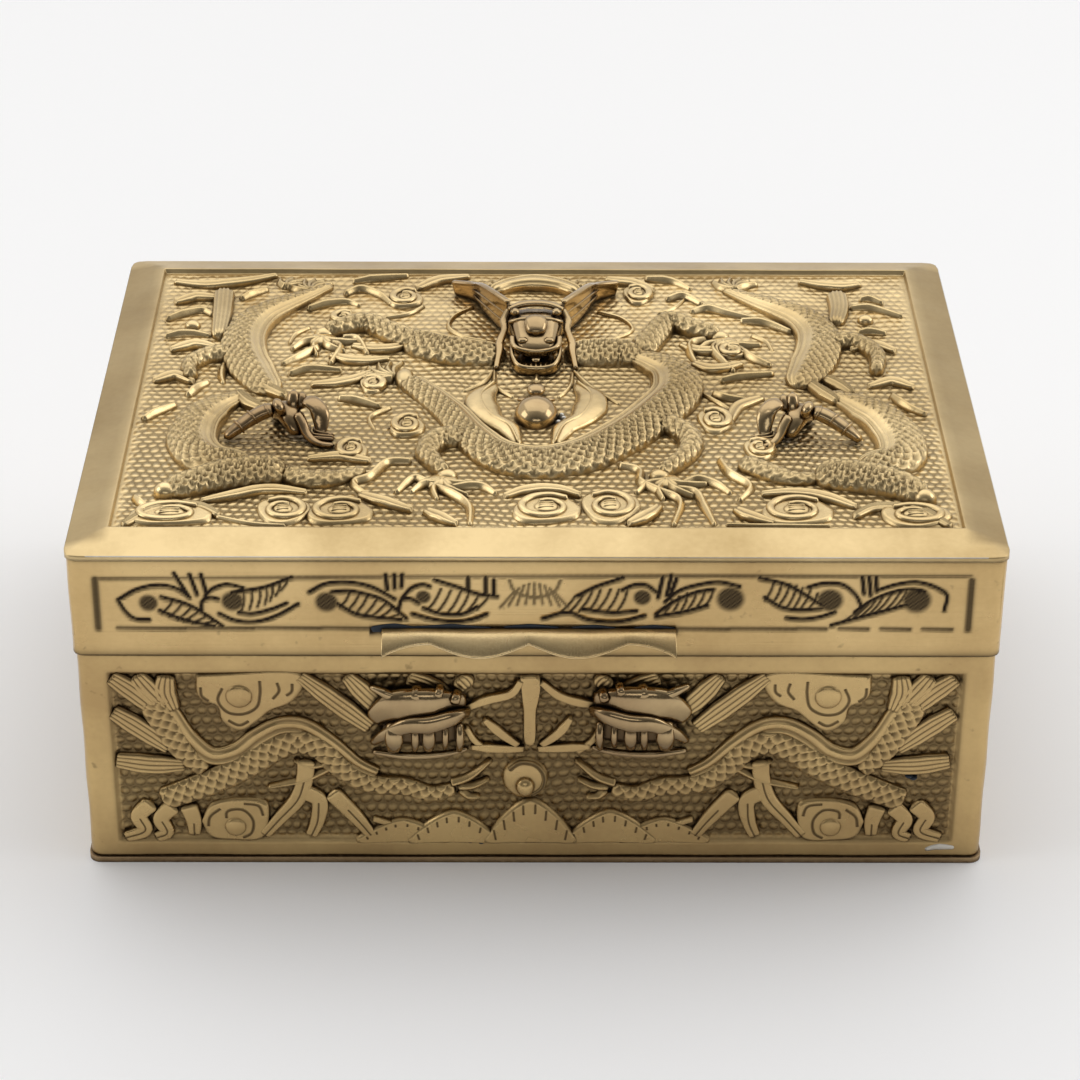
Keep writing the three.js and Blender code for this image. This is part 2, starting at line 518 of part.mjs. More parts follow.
const heads = {
  dragon_head_centre: placed(centreHead(), lidPoint(0, 0), onLid),
  dragon_head_left: placed(sideHead(-1), lidPoint(-46.6, -13.4), onLid),
  dragon_head_right: placed(sideHead(1), lidPoint(49, -14), onLid),
  front_head_left: placed(frontHead(-1), wallPoint(-21, 30.4), onFront),
  front_head_right: placed(frontHead(1), wallPoint(18.6, 30.8), onFront),
};

function pearl() {
  const dropRise = PEARL_HEIGHT * 0.55;
  return aboveGround(joined([
    toSolid(dome(lidPoint(0, -9.6), 4.3, 4.8, PEARL_HEIGHT, 12)),
    toSolid(ridge([lidPoint(0, -5.6), lidPoint(0, -1), lidPoint(0, 3.4)], [2.6, 3.6, 1.6], [1.6, dropRise, 1], { sides: 8, steps: 5 })),
  ]));
}
heads.flaming_pearl = { solid: pearl(), seat: seatOutline([[-4.6, -13], [4.6, -13], [4.6, -6], [1.8, 3.6], [-1.8, 3.6], [-4.6, -6]]), face: onLid };

const seatsOn = face => Object.values(heads).filter(head => head.face === face).map(head => head.seat);

// Sheets

function roundedOutline(width, depth, radius) {
  const outline = new THREE.Shape();
  const [x, y] = [width / 2 - radius, depth / 2 - radius];
  outline.absarc(x, y, radius, 0, Math.PI / 2);
  outline.absarc(-x, y, radius, Math.PI / 2, Math.PI);
  outline.absarc(-x, -y, radius, Math.PI, Math.PI * 1.5);
  outline.absarc(x, -y, radius, Math.PI * 1.5, Math.PI * 2);
  return outline;
}

function slab(width, depth, radius, bottom, height) {
  const outline = roundedOutline(width, depth, radius);
  const geometry = new THREE.ExtrudeGeometry(outline, { depth: height, bevelEnabled: false, curveSegments: 3 });
  geometry.translate(0, 0, bottom);
  return toSolid(geometry);
}

function bentStrip(width, depth, bottom, height) {
  const innerRadius = Math.max(CORNER_RADIUS - WALL, 0.4);
  const spare = 1;
  return slab(width, depth, CORNER_RADIUS, bottom, height)
    .subtract(slab(width - 2 * WALL, depth - 2 * WALL, innerRadius, bottom - spare, height + 2 * spare));
}

function walls() {
  const height = BODY_HEIGHT - BASE_THICKNESS;
  const low = PANEL_BOTTOM_MARGIN;
  const high = BODY_HEIGHT - PANEL_TOP_MARGIN;
  const [halfFront, halfEnd] = [frontPanelWidth / 2, endPanelWidth / 2];
  const far = BODY_WIDTH;
  let solid = bentStrip(BODY_WIDTH, BODY_DEPTH, BASE_THICKNESS, height)
    .subtract(box(-halfFront, halfFront, -far, -frontGround, low, high))
    .subtract(box(-halfFront, halfFront, frontGround, far, low, high))
    .subtract(box(-far, -endGround, -halfEnd, halfEnd, low, high))
    .subtract(box(endGround, far, -halfEnd, halfEnd, low, high));
  const frontForms = joined(frontRelief().map(toSolid)).subtract(joined(seatsOn(onFront)));
  solid = solid.add(onFace(frontForms, onFront));
  solid = solid.add(onFace(joined(quietRelief(frontPanelWidth).map(toSolid)), onBack));
  for (const face of [onRight, onLeft]) {
    solid = solid.add(onFace(joined(quietRelief(endPanelWidth).map(toSolid)), face));
  }
  return solid;
}

// The lid's plate: a rounded slab whose top slopes up from the rim to the crest of the border
function lidPlate() {
  const under = RIM_TOP - PLATE_RIM;
  const [width, depth] = [LID_WIDTH + 2 * PLATE_OVERHANG, LID_DEPTH + 2 * PLATE_OVERHANG];
  const blank = slab(width, depth, CORNER_RADIUS + PLATE_OVERHANG, under, PLATE_RIM + BORDER_RISE);
  const foot = box(-width / 2, width / 2, -depth / 2, depth / 2, under, under + PLATE_RIM);
  const slopeStart = new THREE.BoxGeometry(width, depth, BORDER_RISE);
  slopeStart.translate(0, 0, RIM_TOP + BORDER_RISE / 2);
  const slope = slopeStart.attributes.position;
  for (let i = 0; i < slope.count; i += 1) {
    if (slope.getZ(i) > RIM_TOP + BORDER_RISE / 2) {
      slope.setX(i, Math.sign(slope.getX(i)) * (width / 2 - BORDER_WIDTH));
      slope.setY(i, Math.sign(slope.getY(i)) * (depth / 2 - BORDER_WIDTH));
    }
  }
  const [halfX, halfY] = [FIELD_WIDTH / 2, FIELD_DEPTH / 2];
  const high = RIM_TOP + BORDER_RISE + 1;
  let solid = blank.intersect(foot.add(toSolid(slopeStart)));
  solid = solid.subtract(box(-halfX, halfX, -halfY, halfY, FIELD_TOP, high));
  const forms = joined(lidRelief().map(toSolid)).subtract(joined(seatsOn(onLid)));
  return solid.add(onFace(forms, onLid));
}

// The thumb lip: a strip that curves out and down from the band, with two lobes between scallops
function thumbLip() {
  const geometry = new THREE.BoxGeometry(1, 1, 1, 24, 2, 1);
  const position = geometry.attributes.position;
  const attach = BODY_HEIGHT + LIP_ABOVE_SEAM;
  const centreX = LID_WIDTH * -0.0085;
  for (let i = 0; i < position.count; i += 1) {
    const share = position.getX(i) * 2;
    const outward = 0.5 - position.getY(i);
    const scallop = Math.abs(Math.cos(Math.abs(share) * Math.PI * 1.5 - Math.PI / 2));
    const lobe = Math.abs(share) < 2 / 3 ? scallop : 1 - Math.sin((1 - Math.abs(share)) * Math.PI * 1.5) ** 0.8;
    const reach = outward * LIP_REACH * (0.6 + 0.4 * lobe);
    const drop = 0.7 * reach * (reach / LIP_REACH) ** 0.5;
    position.setXYZ(i, centreX + share * LIP_WIDTH / 2, -LID_DEPTH / 2 - reach,
      attach - drop + (position.getZ(i) - 0.5) * LIP_THICKNESS);
  }
  return toSolid(geometry);
}

const dragonBox = new THREE.Group();
dragonBox.add(toMesh('base_plate', slab(BODY_WIDTH + 2 * BASE_OVERHANG, BODY_DEPTH + 2 * BASE_OVERHANG,
  CORNER_RADIUS, 0, BASE_THICKNESS), brass));
dragonBox.add(toMesh('box_walls', walls(), brass));
dragonBox.add(toMesh('lid_band', bentStrip(LID_WIDTH, LID_DEPTH, BODY_HEIGHT, BAND_HEIGHT), brass));
dragonBox.add(toMesh('lid_plate', lidPlate(), brass));
dragonBox.add(toMesh('thumb_lip', thumbLip(), brass));
for (const [name, { solid, face }] of Object.entries(heads)) {
  dragonBox.add(toMesh(name, onFace(solid, face), polishedBrass));
}

export default dragonBox;
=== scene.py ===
# %% [markdown]
# # A repousse brass box with dragons
# The box is hammered sheet brass: a low rectangular body, and a deep lid that lifts off. Chasers raise
# dragons from the back of such a sheet, then work round them with small punches from the front. This
# lesson dresses the CAD frame of the box. It keeps the frame's sizes, and adds what only a fine mesh and
# a good metal can show: scales, chased lines, ring-punched ground, old patina and painted shade.

# %% Load the frame
import math

import bpy
import bmesh
import numpy as np
from mathutils import Matrix, Vector


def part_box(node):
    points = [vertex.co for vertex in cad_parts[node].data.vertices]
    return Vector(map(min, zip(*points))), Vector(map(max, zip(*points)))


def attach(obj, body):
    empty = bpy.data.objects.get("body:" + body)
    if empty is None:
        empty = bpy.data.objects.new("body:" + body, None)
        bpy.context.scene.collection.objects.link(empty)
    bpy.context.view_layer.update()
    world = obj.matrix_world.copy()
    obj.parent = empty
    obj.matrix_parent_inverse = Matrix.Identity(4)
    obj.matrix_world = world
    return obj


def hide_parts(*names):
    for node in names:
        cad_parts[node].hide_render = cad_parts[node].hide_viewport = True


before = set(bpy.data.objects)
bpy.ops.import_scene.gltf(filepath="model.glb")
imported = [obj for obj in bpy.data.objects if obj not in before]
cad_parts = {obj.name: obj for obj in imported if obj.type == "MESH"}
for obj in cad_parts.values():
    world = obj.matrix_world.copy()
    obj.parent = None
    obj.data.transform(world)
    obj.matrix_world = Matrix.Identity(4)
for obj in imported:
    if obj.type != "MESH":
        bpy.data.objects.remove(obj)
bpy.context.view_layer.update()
MM = 0.001


def node_box(name):
    low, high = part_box(name)
    return np.array(low) / MM, np.array(high) / MM


print("CAD nodes:", ", ".join(sorted(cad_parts)))

# %% [markdown]
# ## Sizes
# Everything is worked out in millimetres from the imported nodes. The lid's plate gives the border and the
# field, and the walls give the panels. The relief was drawn on a field of 150 by 103 and a front panel of
# 153 by 36.7, so two small functions carry a drawn point to its place.

# %% Sizes from the frame
wall_low = node_box("box_walls")[0]
band_low, band_high = node_box("lid_band")
plate_low = node_box("lid_plate")[0]
LID_WIDTH = band_high[0] - band_low[0]
LID_DEPTH = band_high[1] - band_low[1]
SEAM = band_low[2]
RIM_BOTTOM = plate_low[2]
PLATE_RIM = 1.0
RIM_TOP = RIM_BOTTOM + PLATE_RIM
BORDER_WIDTH = 7.3
BORDER_RISE = 1.8
FIELD_SINK = 1.0
FIELD_TOP = RIM_TOP + BORDER_RISE - FIELD_SINK
CREST = RIM_TOP + BORDER_RISE
FIELD_WIDTH = LID_WIDTH - 2 * BORDER_WIDTH
FIELD_DEPTH = LID_DEPTH - 2 * BORDER_WIDTH
BODY_INSET = 0.5
BODY_WIDTH = LID_WIDTH - 2 * BODY_INSET
BODY_DEPTH = LID_DEPTH - 2 * BODY_INSET
WALL = 1.6
CORNER = 2.2
PANEL_SINK = 0.8
PANEL_SIDE = 5.4
PANEL_LOW = 4.6
PANEL_HIGH = SEAM - 4.0
FRONT_GROUND = BODY_DEPTH / 2 - PANEL_SINK
END_GROUND = BODY_WIDTH / 2 - PANEL_SINK
PANEL_WIDTH = BODY_WIDTH - 2 * PANEL_SIDE
END_PANEL_WIDTH = BODY_DEPTH - 2 * PANEL_SIDE
ROOT = 0.35
SAME_POINT = 1e-7
print(f"lid {LID_WIDTH:.1f} x {LID_DEPTH:.1f} mm, field at {FIELD_TOP:.1f} mm, seam at {SEAM:.1f} mm")

# %% Places on the faces
DRAWN_FIELD = (150.0, 103.0)
DRAWN_FRONT = (153.0, 36.7)


def on_lid(p):
    return np.stack([p[:, 0] * FIELD_WIDTH / DRAWN_FIELD[0], p[:, 1] * FIELD_DEPTH / DRAWN_FIELD[1],
                     FIELD_TOP + p[:, 2]], 1)


def drawn_height(v):
    return PANEL_LOW + (v - PANEL_LOW) * (PANEL_HIGH - PANEL_LOW) / DRAWN_FRONT[1]


def on_front(p):
    return np.stack([p[:, 0] * PANEL_WIDTH / DRAWN_FRONT[0], -FRONT_GROUND - p[:, 2],
                     drawn_height(p[:, 1])], 1)


def on_back(p):
    return np.stack([-p[:, 0], FRONT_GROUND + p[:, 2], p[:, 1]], 1)


def on_right(p):
    return np.stack([END_GROUND + p[:, 2], p[:, 0], p[:, 1]], 1)


def on_left(p):
    return np.stack([-END_GROUND - p[:, 2], -p[:, 0], p[:, 1]], 1)


def mirrored(points, about=0.0):
    return [(2 * about - p[0], *p[1:]) for p in points]


print("the front panel's ground is at y =", -FRONT_GROUND)

# %% [markdown]
# ## Tools for relief
# A raised form on a sheet is a strip of mesh that follows a smooth line, with its two edges sunk just
# under the ground. `surface` makes a bmesh grid and lets a function place its points. `ribbon` is the
# chased strip, `tube` is a closed bar for parts that stand free, such as horns and whiskers, and
# `plateau` is a flat raised patch with a bevelled edge. Each point also keeps its place along the strip
# and how dark it is painted (chased lines, patina and painted shade), for the metal's nodes to read.

# %% The drawing tools
def new_mesh():
    bm = bmesh.new()
    bm.verts.layers.float_vector.new("plan")
    # This layer holds painted darkness: chased lines and patina, and painted shade on the border, at the
    # wall's foot, under the lip, in mouths and between scales.
    bm.verts.layers.float.new("lines_patina_and_shade")
    return bm


def surface(bm, columns, rows, place):
    made = bmesh.ops.create_grid(bm, x_segments=columns, y_segments=rows, size=0.5)["verts"]
    flat = np.array([vert.co[:2] for vert in made]) + 0.5
    where, plan, lines_patina_and_shade = place(flat[:, 0], flat[:, 1])
    plan_layer = bm.verts.layers.float_vector["plan"]
    lines_patina_and_shade_layer = bm.verts.layers.float["lines_patina_and_shade"]
    for vert, co, drawn, dark in zip(made, where * MM, plan, lines_patina_and_shade):
        vert.co = co
        vert[plan_layer] = drawn
        vert[lines_patina_and_shade_layer] = dark
    return made


def along(values, u):
    values = np.atleast_1d(np.array(values, float))
    if len(values) == 1:
        return np.full_like(u, values[0])
    return np.interp(u, np.linspace(0, 1, len(values)), values)


SAMPLES_PER_KNOT = 30


def smooth_line(points, spacing):
    """Even places on a smooth curve through the drawn points, its direction, and the length so far."""
    knots = np.array([(*p, 0.0)[:3] for p in points], float)
    chord = np.r_[0, np.cumsum(np.sqrt(np.linalg.norm(np.diff(knots, axis=0), axis=1)))]
    slope = np.gradient(knots, chord, axis=0)
    fine = np.linspace(0, chord[-1], SAMPLES_PER_KNOT * len(knots))
    i = np.clip(np.searchsorted(chord, fine) - 1, 0, len(chord) - 2)
    gap = (chord[i + 1] - chord[i])[:, None]
    f = (fine - chord[i])[:, None] / gap
    dense = ((2 * f ** 3 - 3 * f ** 2 + 1) * knots[i] + (f ** 3 - 2 * f ** 2 + f) * gap * slope[i]
             + (3 * f ** 2 - 2 * f ** 3) * knots[i + 1] + (f ** 3 - f ** 2) * gap * slope[i + 1])
    reach = np.r_[0, np.cumsum(np.linalg.norm(np.diff(dense, axis=0), axis=1))]
    count = max(3, math.ceil(reach[-1] / spacing))
    even = np.linspace(0, reach[-1], count + 1)
    line = np.stack([np.interp(even, reach, dense[:, k]) for k in range(3)], 1)
    tangent = np.gradient(line, axis=0)
    tangent /= np.linalg.norm(tangent, axis=1)[:, None]
    return line, tangent, even


print("a smooth line of 3 knots has", len(smooth_line([(0, 0), (4, 3), (9, 0)], 0.5)[0]), "points")


# %% Sections across a strip
def rounded(s, t, half):
    return np.clip(1 - np.abs(t) ** 2.6, 0, 1) ** 0.6, 0 * t


def sharp(s, t, half):
    return np.clip(1 - np.abs(t), 0, 1) ** 0.75, 0 * t


def grooved(s, t, half):
    rise = np.clip(1 - np.abs(t) ** 4, 0, 1) ** 0.5
    return rise - 0.35 * np.exp(-(t / 0.3) ** 2), 0.5 * np.exp(-(t / 0.25) ** 2)


def flat(s, t, half):
    return np.clip(1 - np.abs(t) ** 12, 0, 1) ** 0.5, 0 * t


def inked(s, t, half):
    return np.clip(1 - t * t, 0, 1), 0.92 * np.clip(1.4 - 1.4 * np.abs(t), 0, 1)


def feathered(s, t, half):
    lines = np.clip(np.cos(t * math.pi * 4.5) * 1.6 - 0.5, 0, 1)
    return np.clip(1 - np.abs(t) ** 12, 0, 1) ** 0.5 * (1 - 0.16 * lines), 0.85 * lines * (np.abs(t) < 0.9)


def veined(s, t, half):
    lines = 0.5 + 0.5 * np.cos(t * math.pi * 5)
    return np.clip(1 - np.abs(t) ** 2.6, 0, 1) ** 0.6 * (0.78 + 0.22 * lines), 0.45 * (1 - lines)


print("plain sections ready")


# %% Sections with scales
# In the scaled sections below, the dark value paints the low parts between scales: patina and painted
# shade.
def scale_pattern(s, v, pitch, reach):
    """Overlapping scales: s runs along the body, and the free edges point to +v."""
    row_gap = reach * 0.5
    row = np.floor(v / row_gap)
    lift = np.zeros_like(s)
    free = np.ones(s.shape, bool)
    for back in (1, 0):
        k = row - back
        shift = (k % 2) * pitch / 2
        ds = (s - shift + pitch / 2) % pitch - pitch / 2
        distance = np.hypot(ds / (0.58 * pitch), (v - k * row_gap) / (reach * 1.02))
        inside = free & (distance < 1)
        lift[inside] = 0.15 + 0.85 * distance[inside] ** 2.4
        free &= ~inside
    return lift


SCALE_PITCH = 2.1


def dragon_body(s, t, half):
    """The inner side is a smooth belly with raised lines, the rest carries the scales."""
    crest = -0.32
    belly = np.clip((t + 1) / (1 + crest), 0, 1)
    rise = 0.4 + 0.6 * belly ** 1.5
    rise = np.where(t < -0.92, rise * np.clip((t + 1) / 0.08, 0, 1), rise)
    rise += 0.2 * np.exp(-((t + 0.84) / 0.05) ** 2) + 0.13 * np.exp(-((t + 0.62) / 0.05) ** 2)
    outer = np.clip((t - crest) / (1 - crest), 0, 1)
    slope = np.clip(1 - outer ** 2.4, 0, 1) ** 0.6
    lift = scale_pattern(s, outer * half * 1.6, SCALE_PITCH, 2.3)
    edge = np.clip(outer / 0.08, 0, 1) * np.clip((1 - outer) / 0.05, 0, 1)
    height = np.where(t < crest, rise, slope + 0.38 * (lift - 0.4) * edge)
    lines = np.exp(-((t + 0.73) / 0.05) ** 2) + 0.7 * np.exp(-((t + 0.5) / 0.06) ** 2)
    return height, np.where(t < crest, 0.3 * lines, edge * (1 - lift) * 0.85)


def flat_scales(s, t, half):
    """A flat-topped band of two or three rows of scales, as on the front wall."""
    lift = scale_pattern(s, (t + 1) * half, 2.3, 2.5)
    inside = np.clip((1 - np.abs(t)) / 0.12, 0, 1)
    rise = np.clip(1 - np.abs(t) ** 4, 0, 1) ** 0.5
    return rise * (0.8 + 0.3 * lift), inside * np.clip(1.1 - 1.5 * lift, 0, 0.95)


def belly_band(s, t, half):
    rise = np.clip(1 - np.abs(t) ** 4, 0, 1) ** 0.5
    lines = np.exp(-((t - 0.35) / 0.16) ** 2) + np.exp(-((t + 0.6) / 0.14) ** 2)
    return rise * (0.85 - 0.28 * lines), 0.6 * lines


def scaled_limb(s, t, half):
    base = np.clip(1 - np.abs(t) ** 2.2, 0, 1) ** 0.6
    lift = scale_pattern(s, np.abs(t) * half * 1.3, SCALE_PITCH, 2.0)
    edge = np.clip((1 - np.abs(t)) / 0.1, 0, 1)
    return base + 0.36 * (lift - 0.4) * edge, edge * (1 - lift) * 0.85


print("scale pitch", SCALE_PITCH, "mm")


# %% Ribbon and tube
def left_of(tangent):
    flat = np.hypot(tangent[:, 0], tangent[:, 1])[:, None] + 1e-9
    return np.stack([-tangent[:, 1], tangent[:, 0]], 1) / flat


def ribbon(bm, face, points, width, height, section=rounded, spacing=0.45, across=12, side=1, base=0.0,
           cap=1.0):
    """A chased strip along a line. `side` says which edge of the section lies to the left."""
    line, tangent, even = smooth_line(points, spacing)
    left = left_of(tangent)
    count = len(line) - 1

    def place(u, v):
        i = np.rint(u * count).astype(int)
        t = np.sin((v - 0.5) * math.pi)
        half = along(width, u) / 2
        near = np.clip(np.minimum(even[i], even[-1] - even[i]) / (half * cap + 1e-6), 0, 1)
        close = np.sqrt(1 - (1 - near) ** 2)
        rise, dark = section(even[i], t * side, half)
        sink = ROOT * np.clip((np.abs(t) - 0.93) / 0.07, 0, 1) + ROOT * (near <= 0)
        z = line[i, 2] + base + along(height, u) * rise * (0.12 + 0.88 * close) - sink
        xy = line[i, :2] + left[i] * (t * half * (0.1 + 0.9 * close))[:, None]
        plan = np.stack([even[i], t * half, 0 * t], 1)
        return face(np.column_stack([xy, z])), plan, dark

    return surface(bm, count, across, place)


def tube(bm, face, points, width, height, sides=12, power=2.4, lean=0.0, spacing=0.6, pointed=0.25,
         dark=0.0):
    """A closed bar along a line. A power of 2 makes it oval, and a higher one makes it boxy."""
    line, tangent, even = smooth_line(points, spacing)
    left = np.column_stack([left_of(tangent), np.zeros(len(line))])
    up = np.cross(tangent, left)
    count = len(line) - 1

    def place(u, v):
        i = np.rint(u * count).astype(int)
        angle = 2 * math.pi * v
        c, s = np.cos(angle), np.sin(angle)
        size = (np.abs(c) ** power + np.abs(s) ** power) ** (-1 / power)
        half_w, half_h = along(width, u) / 2, along(height, u) / 2
        near = np.clip(np.minimum(even[i], even[-1] - even[i]) / (half_w * 0.8), 0, 1)
        close = np.where(near <= 0, 0, pointed + (1 - pointed) * np.sqrt(1 - (1 - near) ** 2))
        aside, above = c * size * half_w * close, s * size * half_h * close
        p = line[i] + left[i] * aside[:, None] + up[i] * above[:, None]
        p[:, 0] += lean * np.maximum(p[:, 2], 0)
        return face(p), np.stack([even[i], angle, 0 * u], 1), dark + 0 * u

    made = surface(bm, count, sides, place)
    bmesh.ops.remove_doubles(bm, verts=made, dist=SAME_POINT)


print("ribbon and tube ready")


# %% Dome, plateau and curl
def face_out(bm, made):
    """A grid that was rolled out from its middle looks inward, so it is turned over and its seam closed."""
    faces = list({f for vert in made for f in vert.link_faces})
    bmesh.ops.reverse_faces(bm, faces=faces)
    bmesh.ops.remove_doubles(bm, verts=made, dist=SAME_POINT)


def dome(bm, face, at, radius_x, radius_y, height, segments=20, rings=8, base=0.0, power=0.5, dark=0.0):
    """A round boss on the sheet."""
    def place(u, v):
        angle = 2 * math.pi * u
        x, y = at[0] + np.cos(angle) * radius_x * v, at[1] + np.sin(angle) * radius_y * v
        z = base + height * np.clip(1 - v ** 2, 0, 1) ** power - ROOT * (v > 0.999)
        return face(np.stack([x, y, z], 1)), np.stack([x, y, 0 * x], 1), dark + 0 * u

    face_out(bm, surface(bm, segments, rings, place))


PLATEAU_RINGS = 6


def plateau(bm, face, points, height, base=0.0, spacing=0.7, bevel=0.45):
    """A flat raised patch inside a closed outline."""
    ring = smooth_line([*points, points[0]], spacing)[0][:-1]
    after = np.roll(ring, -1, 0)
    if np.sum(ring[:, 0] * after[:, 1] - after[:, 0] * ring[:, 1]) < 0:
        ring = ring[::-1]
    middle = ring.mean(0)

    def place(u, v):
        i = np.rint(u * len(ring)).astype(int) % len(ring)
        share = v ** 0.4
        spoke = ring[i] - middle
        reach = np.linalg.norm(spoke, axis=1) + 1e-6
        edge = np.clip((1 - share) * reach / bevel, 0, 1)
        p = middle + spoke * share[:, None]
        p[:, 2] = base + height * np.sqrt(1 - (1 - edge) ** 2) - ROOT * (share > 0.999)
        return face(p), np.stack([p[:, 0], p[:, 1], 0 * u], 1), 0 * u

    face_out(bm, surface(bm, len(ring), PLATEAU_RINGS, place))


def curl(at, radius_x, radius_y, turns, turn=1, start=0.6, close=0.12):
    """Points of a spiral that winds in to its middle."""
    count = max(5, int(turns * 9))
    points = []
    for step in range(count + 1):
        share = step / count
        angle = turn * share * turns * 2 * math.pi + start
        reach = 1 - (1 - close) * share
        points.append((at[0] + math.cos(angle) * radius_x * reach,
                       at[1] + math.sin(angle) * radius_y * reach))
    return points


print("dome, plateau and curl ready")

# %% [markdown]
# ## The metals
# All of it is the same brass, painted in lit and shaded copies: bright gold on the lid, which faces the
# light, browner and darker on the walls and the band as painted shade, and dark brown on the smooth raised
# heads as painted reflection of the dark room that they mirror. Metal in Blender is a Principled shader
# with metallic at 1.
# Occlusion darkens the colour in the corners: painted shade, with the patina of the hollows. A second mask
# comes from the chased lines, with patina and painted shade stored on the sheet's points. The ground's ring
# punches are too fine for mesh, so they are a bump of small domes in staggered rows, read from each sheet's
# own flat plan.

# %% Sums on node values
class Signal:
    """A value that flows between nodes. A sum on it is written as a sum and adds its math node."""

    def __init__(self, tree, socket):
        self.tree = tree
        self.socket = socket

    def step(self, operation, *values):
        made = self.tree.nodes.new("ShaderNodeMath")
        made.operation = operation
        for place, value in zip(made.inputs, values):
            if isinstance(value, Signal):
                self.tree.links.new(value.socket, place)
            else:
                place.default_value = value
        return Signal(self.tree, made.outputs[0])

    def __add__(self, other):
        return self.step("ADD", self, other)

    def __sub__(self, other):
        return self.step("SUBTRACT", self, other)

    def __rsub__(self, other):
        return self.step("SUBTRACT", other, self)

    def __mul__(self, other):
        return self.step("MULTIPLY", self, other)

    def __truediv__(self, other):
        return self.step("DIVIDE", self, other)

    def __mod__(self, other):
        return self.step("MODULO", self, other)

    def __pow__(self, other):
        return self.step("POWER", self, other)

    def larger(self, other):
        return self.step("MAXIMUM", self, other)

    def smaller(self, other):
        return self.step("MINIMUM", self, other)

    def floor(self):
        return self.step("FLOOR", self)

    def fract(self):
        return self.step("FRACT", self)

    def root(self):
        return self.step("SQRT", self)

    def clamped(self):
        self.socket.node.use_clamp = True
        return self


print("a signal can be added, scaled and compared")


# %% Ring punches
def ring_punches(x, y, pitch):
    """Domes in staggered rows: 1 at the middle of each and 0 round it. All lengths are in millimetres."""
    row_share, radius, steepness = 0.98, 0.47, 2.2
    column = x / pitch + 100.0
    upward = y / (pitch * row_share)
    row = upward.floor()
    from_row = upward.fract()

    def to_centre(number, rise):
        stagger = (number + 100.0) % 2.0 * 0.5
        aside = (column + stagger).fract() - 0.5
        above = rise * row_share
        return (aside * aside + above * above).root()

    distance = to_centre(row, from_row).smaller(to_centre(row + 1.0, 1.0 - from_row))
    return (1.0 - (distance / radius) ** steepness).clamped()


print("domes for the ground ready")


# %% The brass shader
def brass(name, bright, deep, patina_and_shade, roughness, rings=0.0, ring_pitch=1.8, ground_dark=0.2, brushed=0.0,
          crevice=0.0016, spots=0.0):
    material = bpy.data.materials.new(name)
    material.use_nodes = True
    tree = material.node_tree
    shader = tree.nodes["Principled BSDF"]
    shader.inputs["Metallic"].default_value = 1.0

    def node(kind, **settings):
        made = tree.nodes.new(kind)
        for key, value in settings.items():
            if hasattr(made, key):
                setattr(made, key, value)
            else:
                made.inputs[key].default_value = value
        return made

    def mix(factor, first, second):
        made = node("ShaderNodeMix", data_type="RGBA")
        tree.links.new(factor.socket, made.inputs["Factor"])
        for place, value in ((made.inputs["A"], first), (made.inputs["B"], second)):
            if isinstance(value, tuple):
                place.default_value = (*value, 1)
            else:
                tree.links.new(value, place)
        return made.outputs["Result"]

    coords = node("ShaderNodeTexCoord").outputs["Object"]
    plan = node("ShaderNodeAttribute", attribute_name="plan").outputs["Vector"]
    lines_patina_and_shade = Signal(tree, node("ShaderNodeAttribute", attribute_name="lines_patina_and_shade").outputs["Fac"])
    open_sky = Signal(tree, node("ShaderNodeAmbientOcclusion", samples=8, Distance=crevice).outputs["AO"])

    def noise(scale, detail=4.0, vector=coords):
        made = node("ShaderNodeTexNoise", Scale=scale, Detail=detail)
        tree.links.new(vector, made.inputs["Vector"])
        return Signal(tree, made.outputs["Fac"])

    fine = noise(900.0)
    tone = ((noise(38.0) + fine * 0.15 - 0.42) * 3.2).clamped()
    # Occlusion darkens the colour in corners and hollows: painted shade, with the patina that sits there.
    hidden = ((0.93 - open_sky) * 2.1).clamped()
    mottled = (hidden * (fine + 0.55)).clamped()
    dark = (mottled * 0.95).larger(lines_patina_and_shade).clamped()
    height = noise(240.0, 3.0) * 0.35 + fine * 0.1
    if rings:
        parts = node("ShaderNodeSeparateXYZ")
        tree.links.new(plan, parts.inputs[0])
        x, y, mask = (Signal(tree, socket) for socket in parts.outputs)
        wobble = (noise(110.0, 1.0) - 0.5) * 2.2
        domes = ring_punches(x + wobble, y + wobble, ring_pitch)
        worn = noise(55.0, 2.0) * 0.9 + 0.35
        height = height + domes * mask * worn * rings
        # The ground between the domes is darkened: patina, and painted shade.
        ground_patina_and_shade = (1.0 - domes) ** 2.0 * (0.8 - ground_dark) + ground_dark
        dark = dark.larger(ground_patina_and_shade * mask).clamped()
    if brushed:
        stretch = node("ShaderNodeMapping", Scale=(14.0, 300.0, 2200.0))
        tree.links.new(coords, stretch.inputs["Vector"])
        height = height + noise(1.0, 3.0, stretch.outputs[0]) * brushed
    if spots:
        specks = ((noise(420.0, 2.0) - 0.68) * 9.0).clamped()
        dark = dark.larger(specks * spots).clamped()
    rough = (noise(160.0) * 0.14 + (roughness - 0.05) + dark * 0.24).clamped()
    bump = node("ShaderNodeBump", Strength=0.55, Distance=0.00034)
    tree.links.new(mix(dark, mix(tone, bright, deep), patina_and_shade), shader.inputs["Base Color"])
    tree.links.new(rough.socket, shader.inputs["Roughness"])
    tree.links.new(height.socket, bump.inputs["Height"])
    tree.links.new(bump.outputs["Normal"], shader.inputs["Normal"])
    return material


print("brass shader ready")

# %% The brasses
GOLD, GOLD_DEEP = (0.86, 0.66, 0.35), (0.58, 0.42, 0.20)
# The walls' and band's colours are darker copies of the lid's gold: painted shade for faces turned from the
# light.
TAN_SHADED, TAN_SHADED_DEEP = (0.64, 0.455, 0.205), (0.48, 0.325, 0.145)
BAND_TAN_SHADED, BAND_SHADED_DEEP = (0.72, 0.515, 0.24), (0.55, 0.375, 0.165)
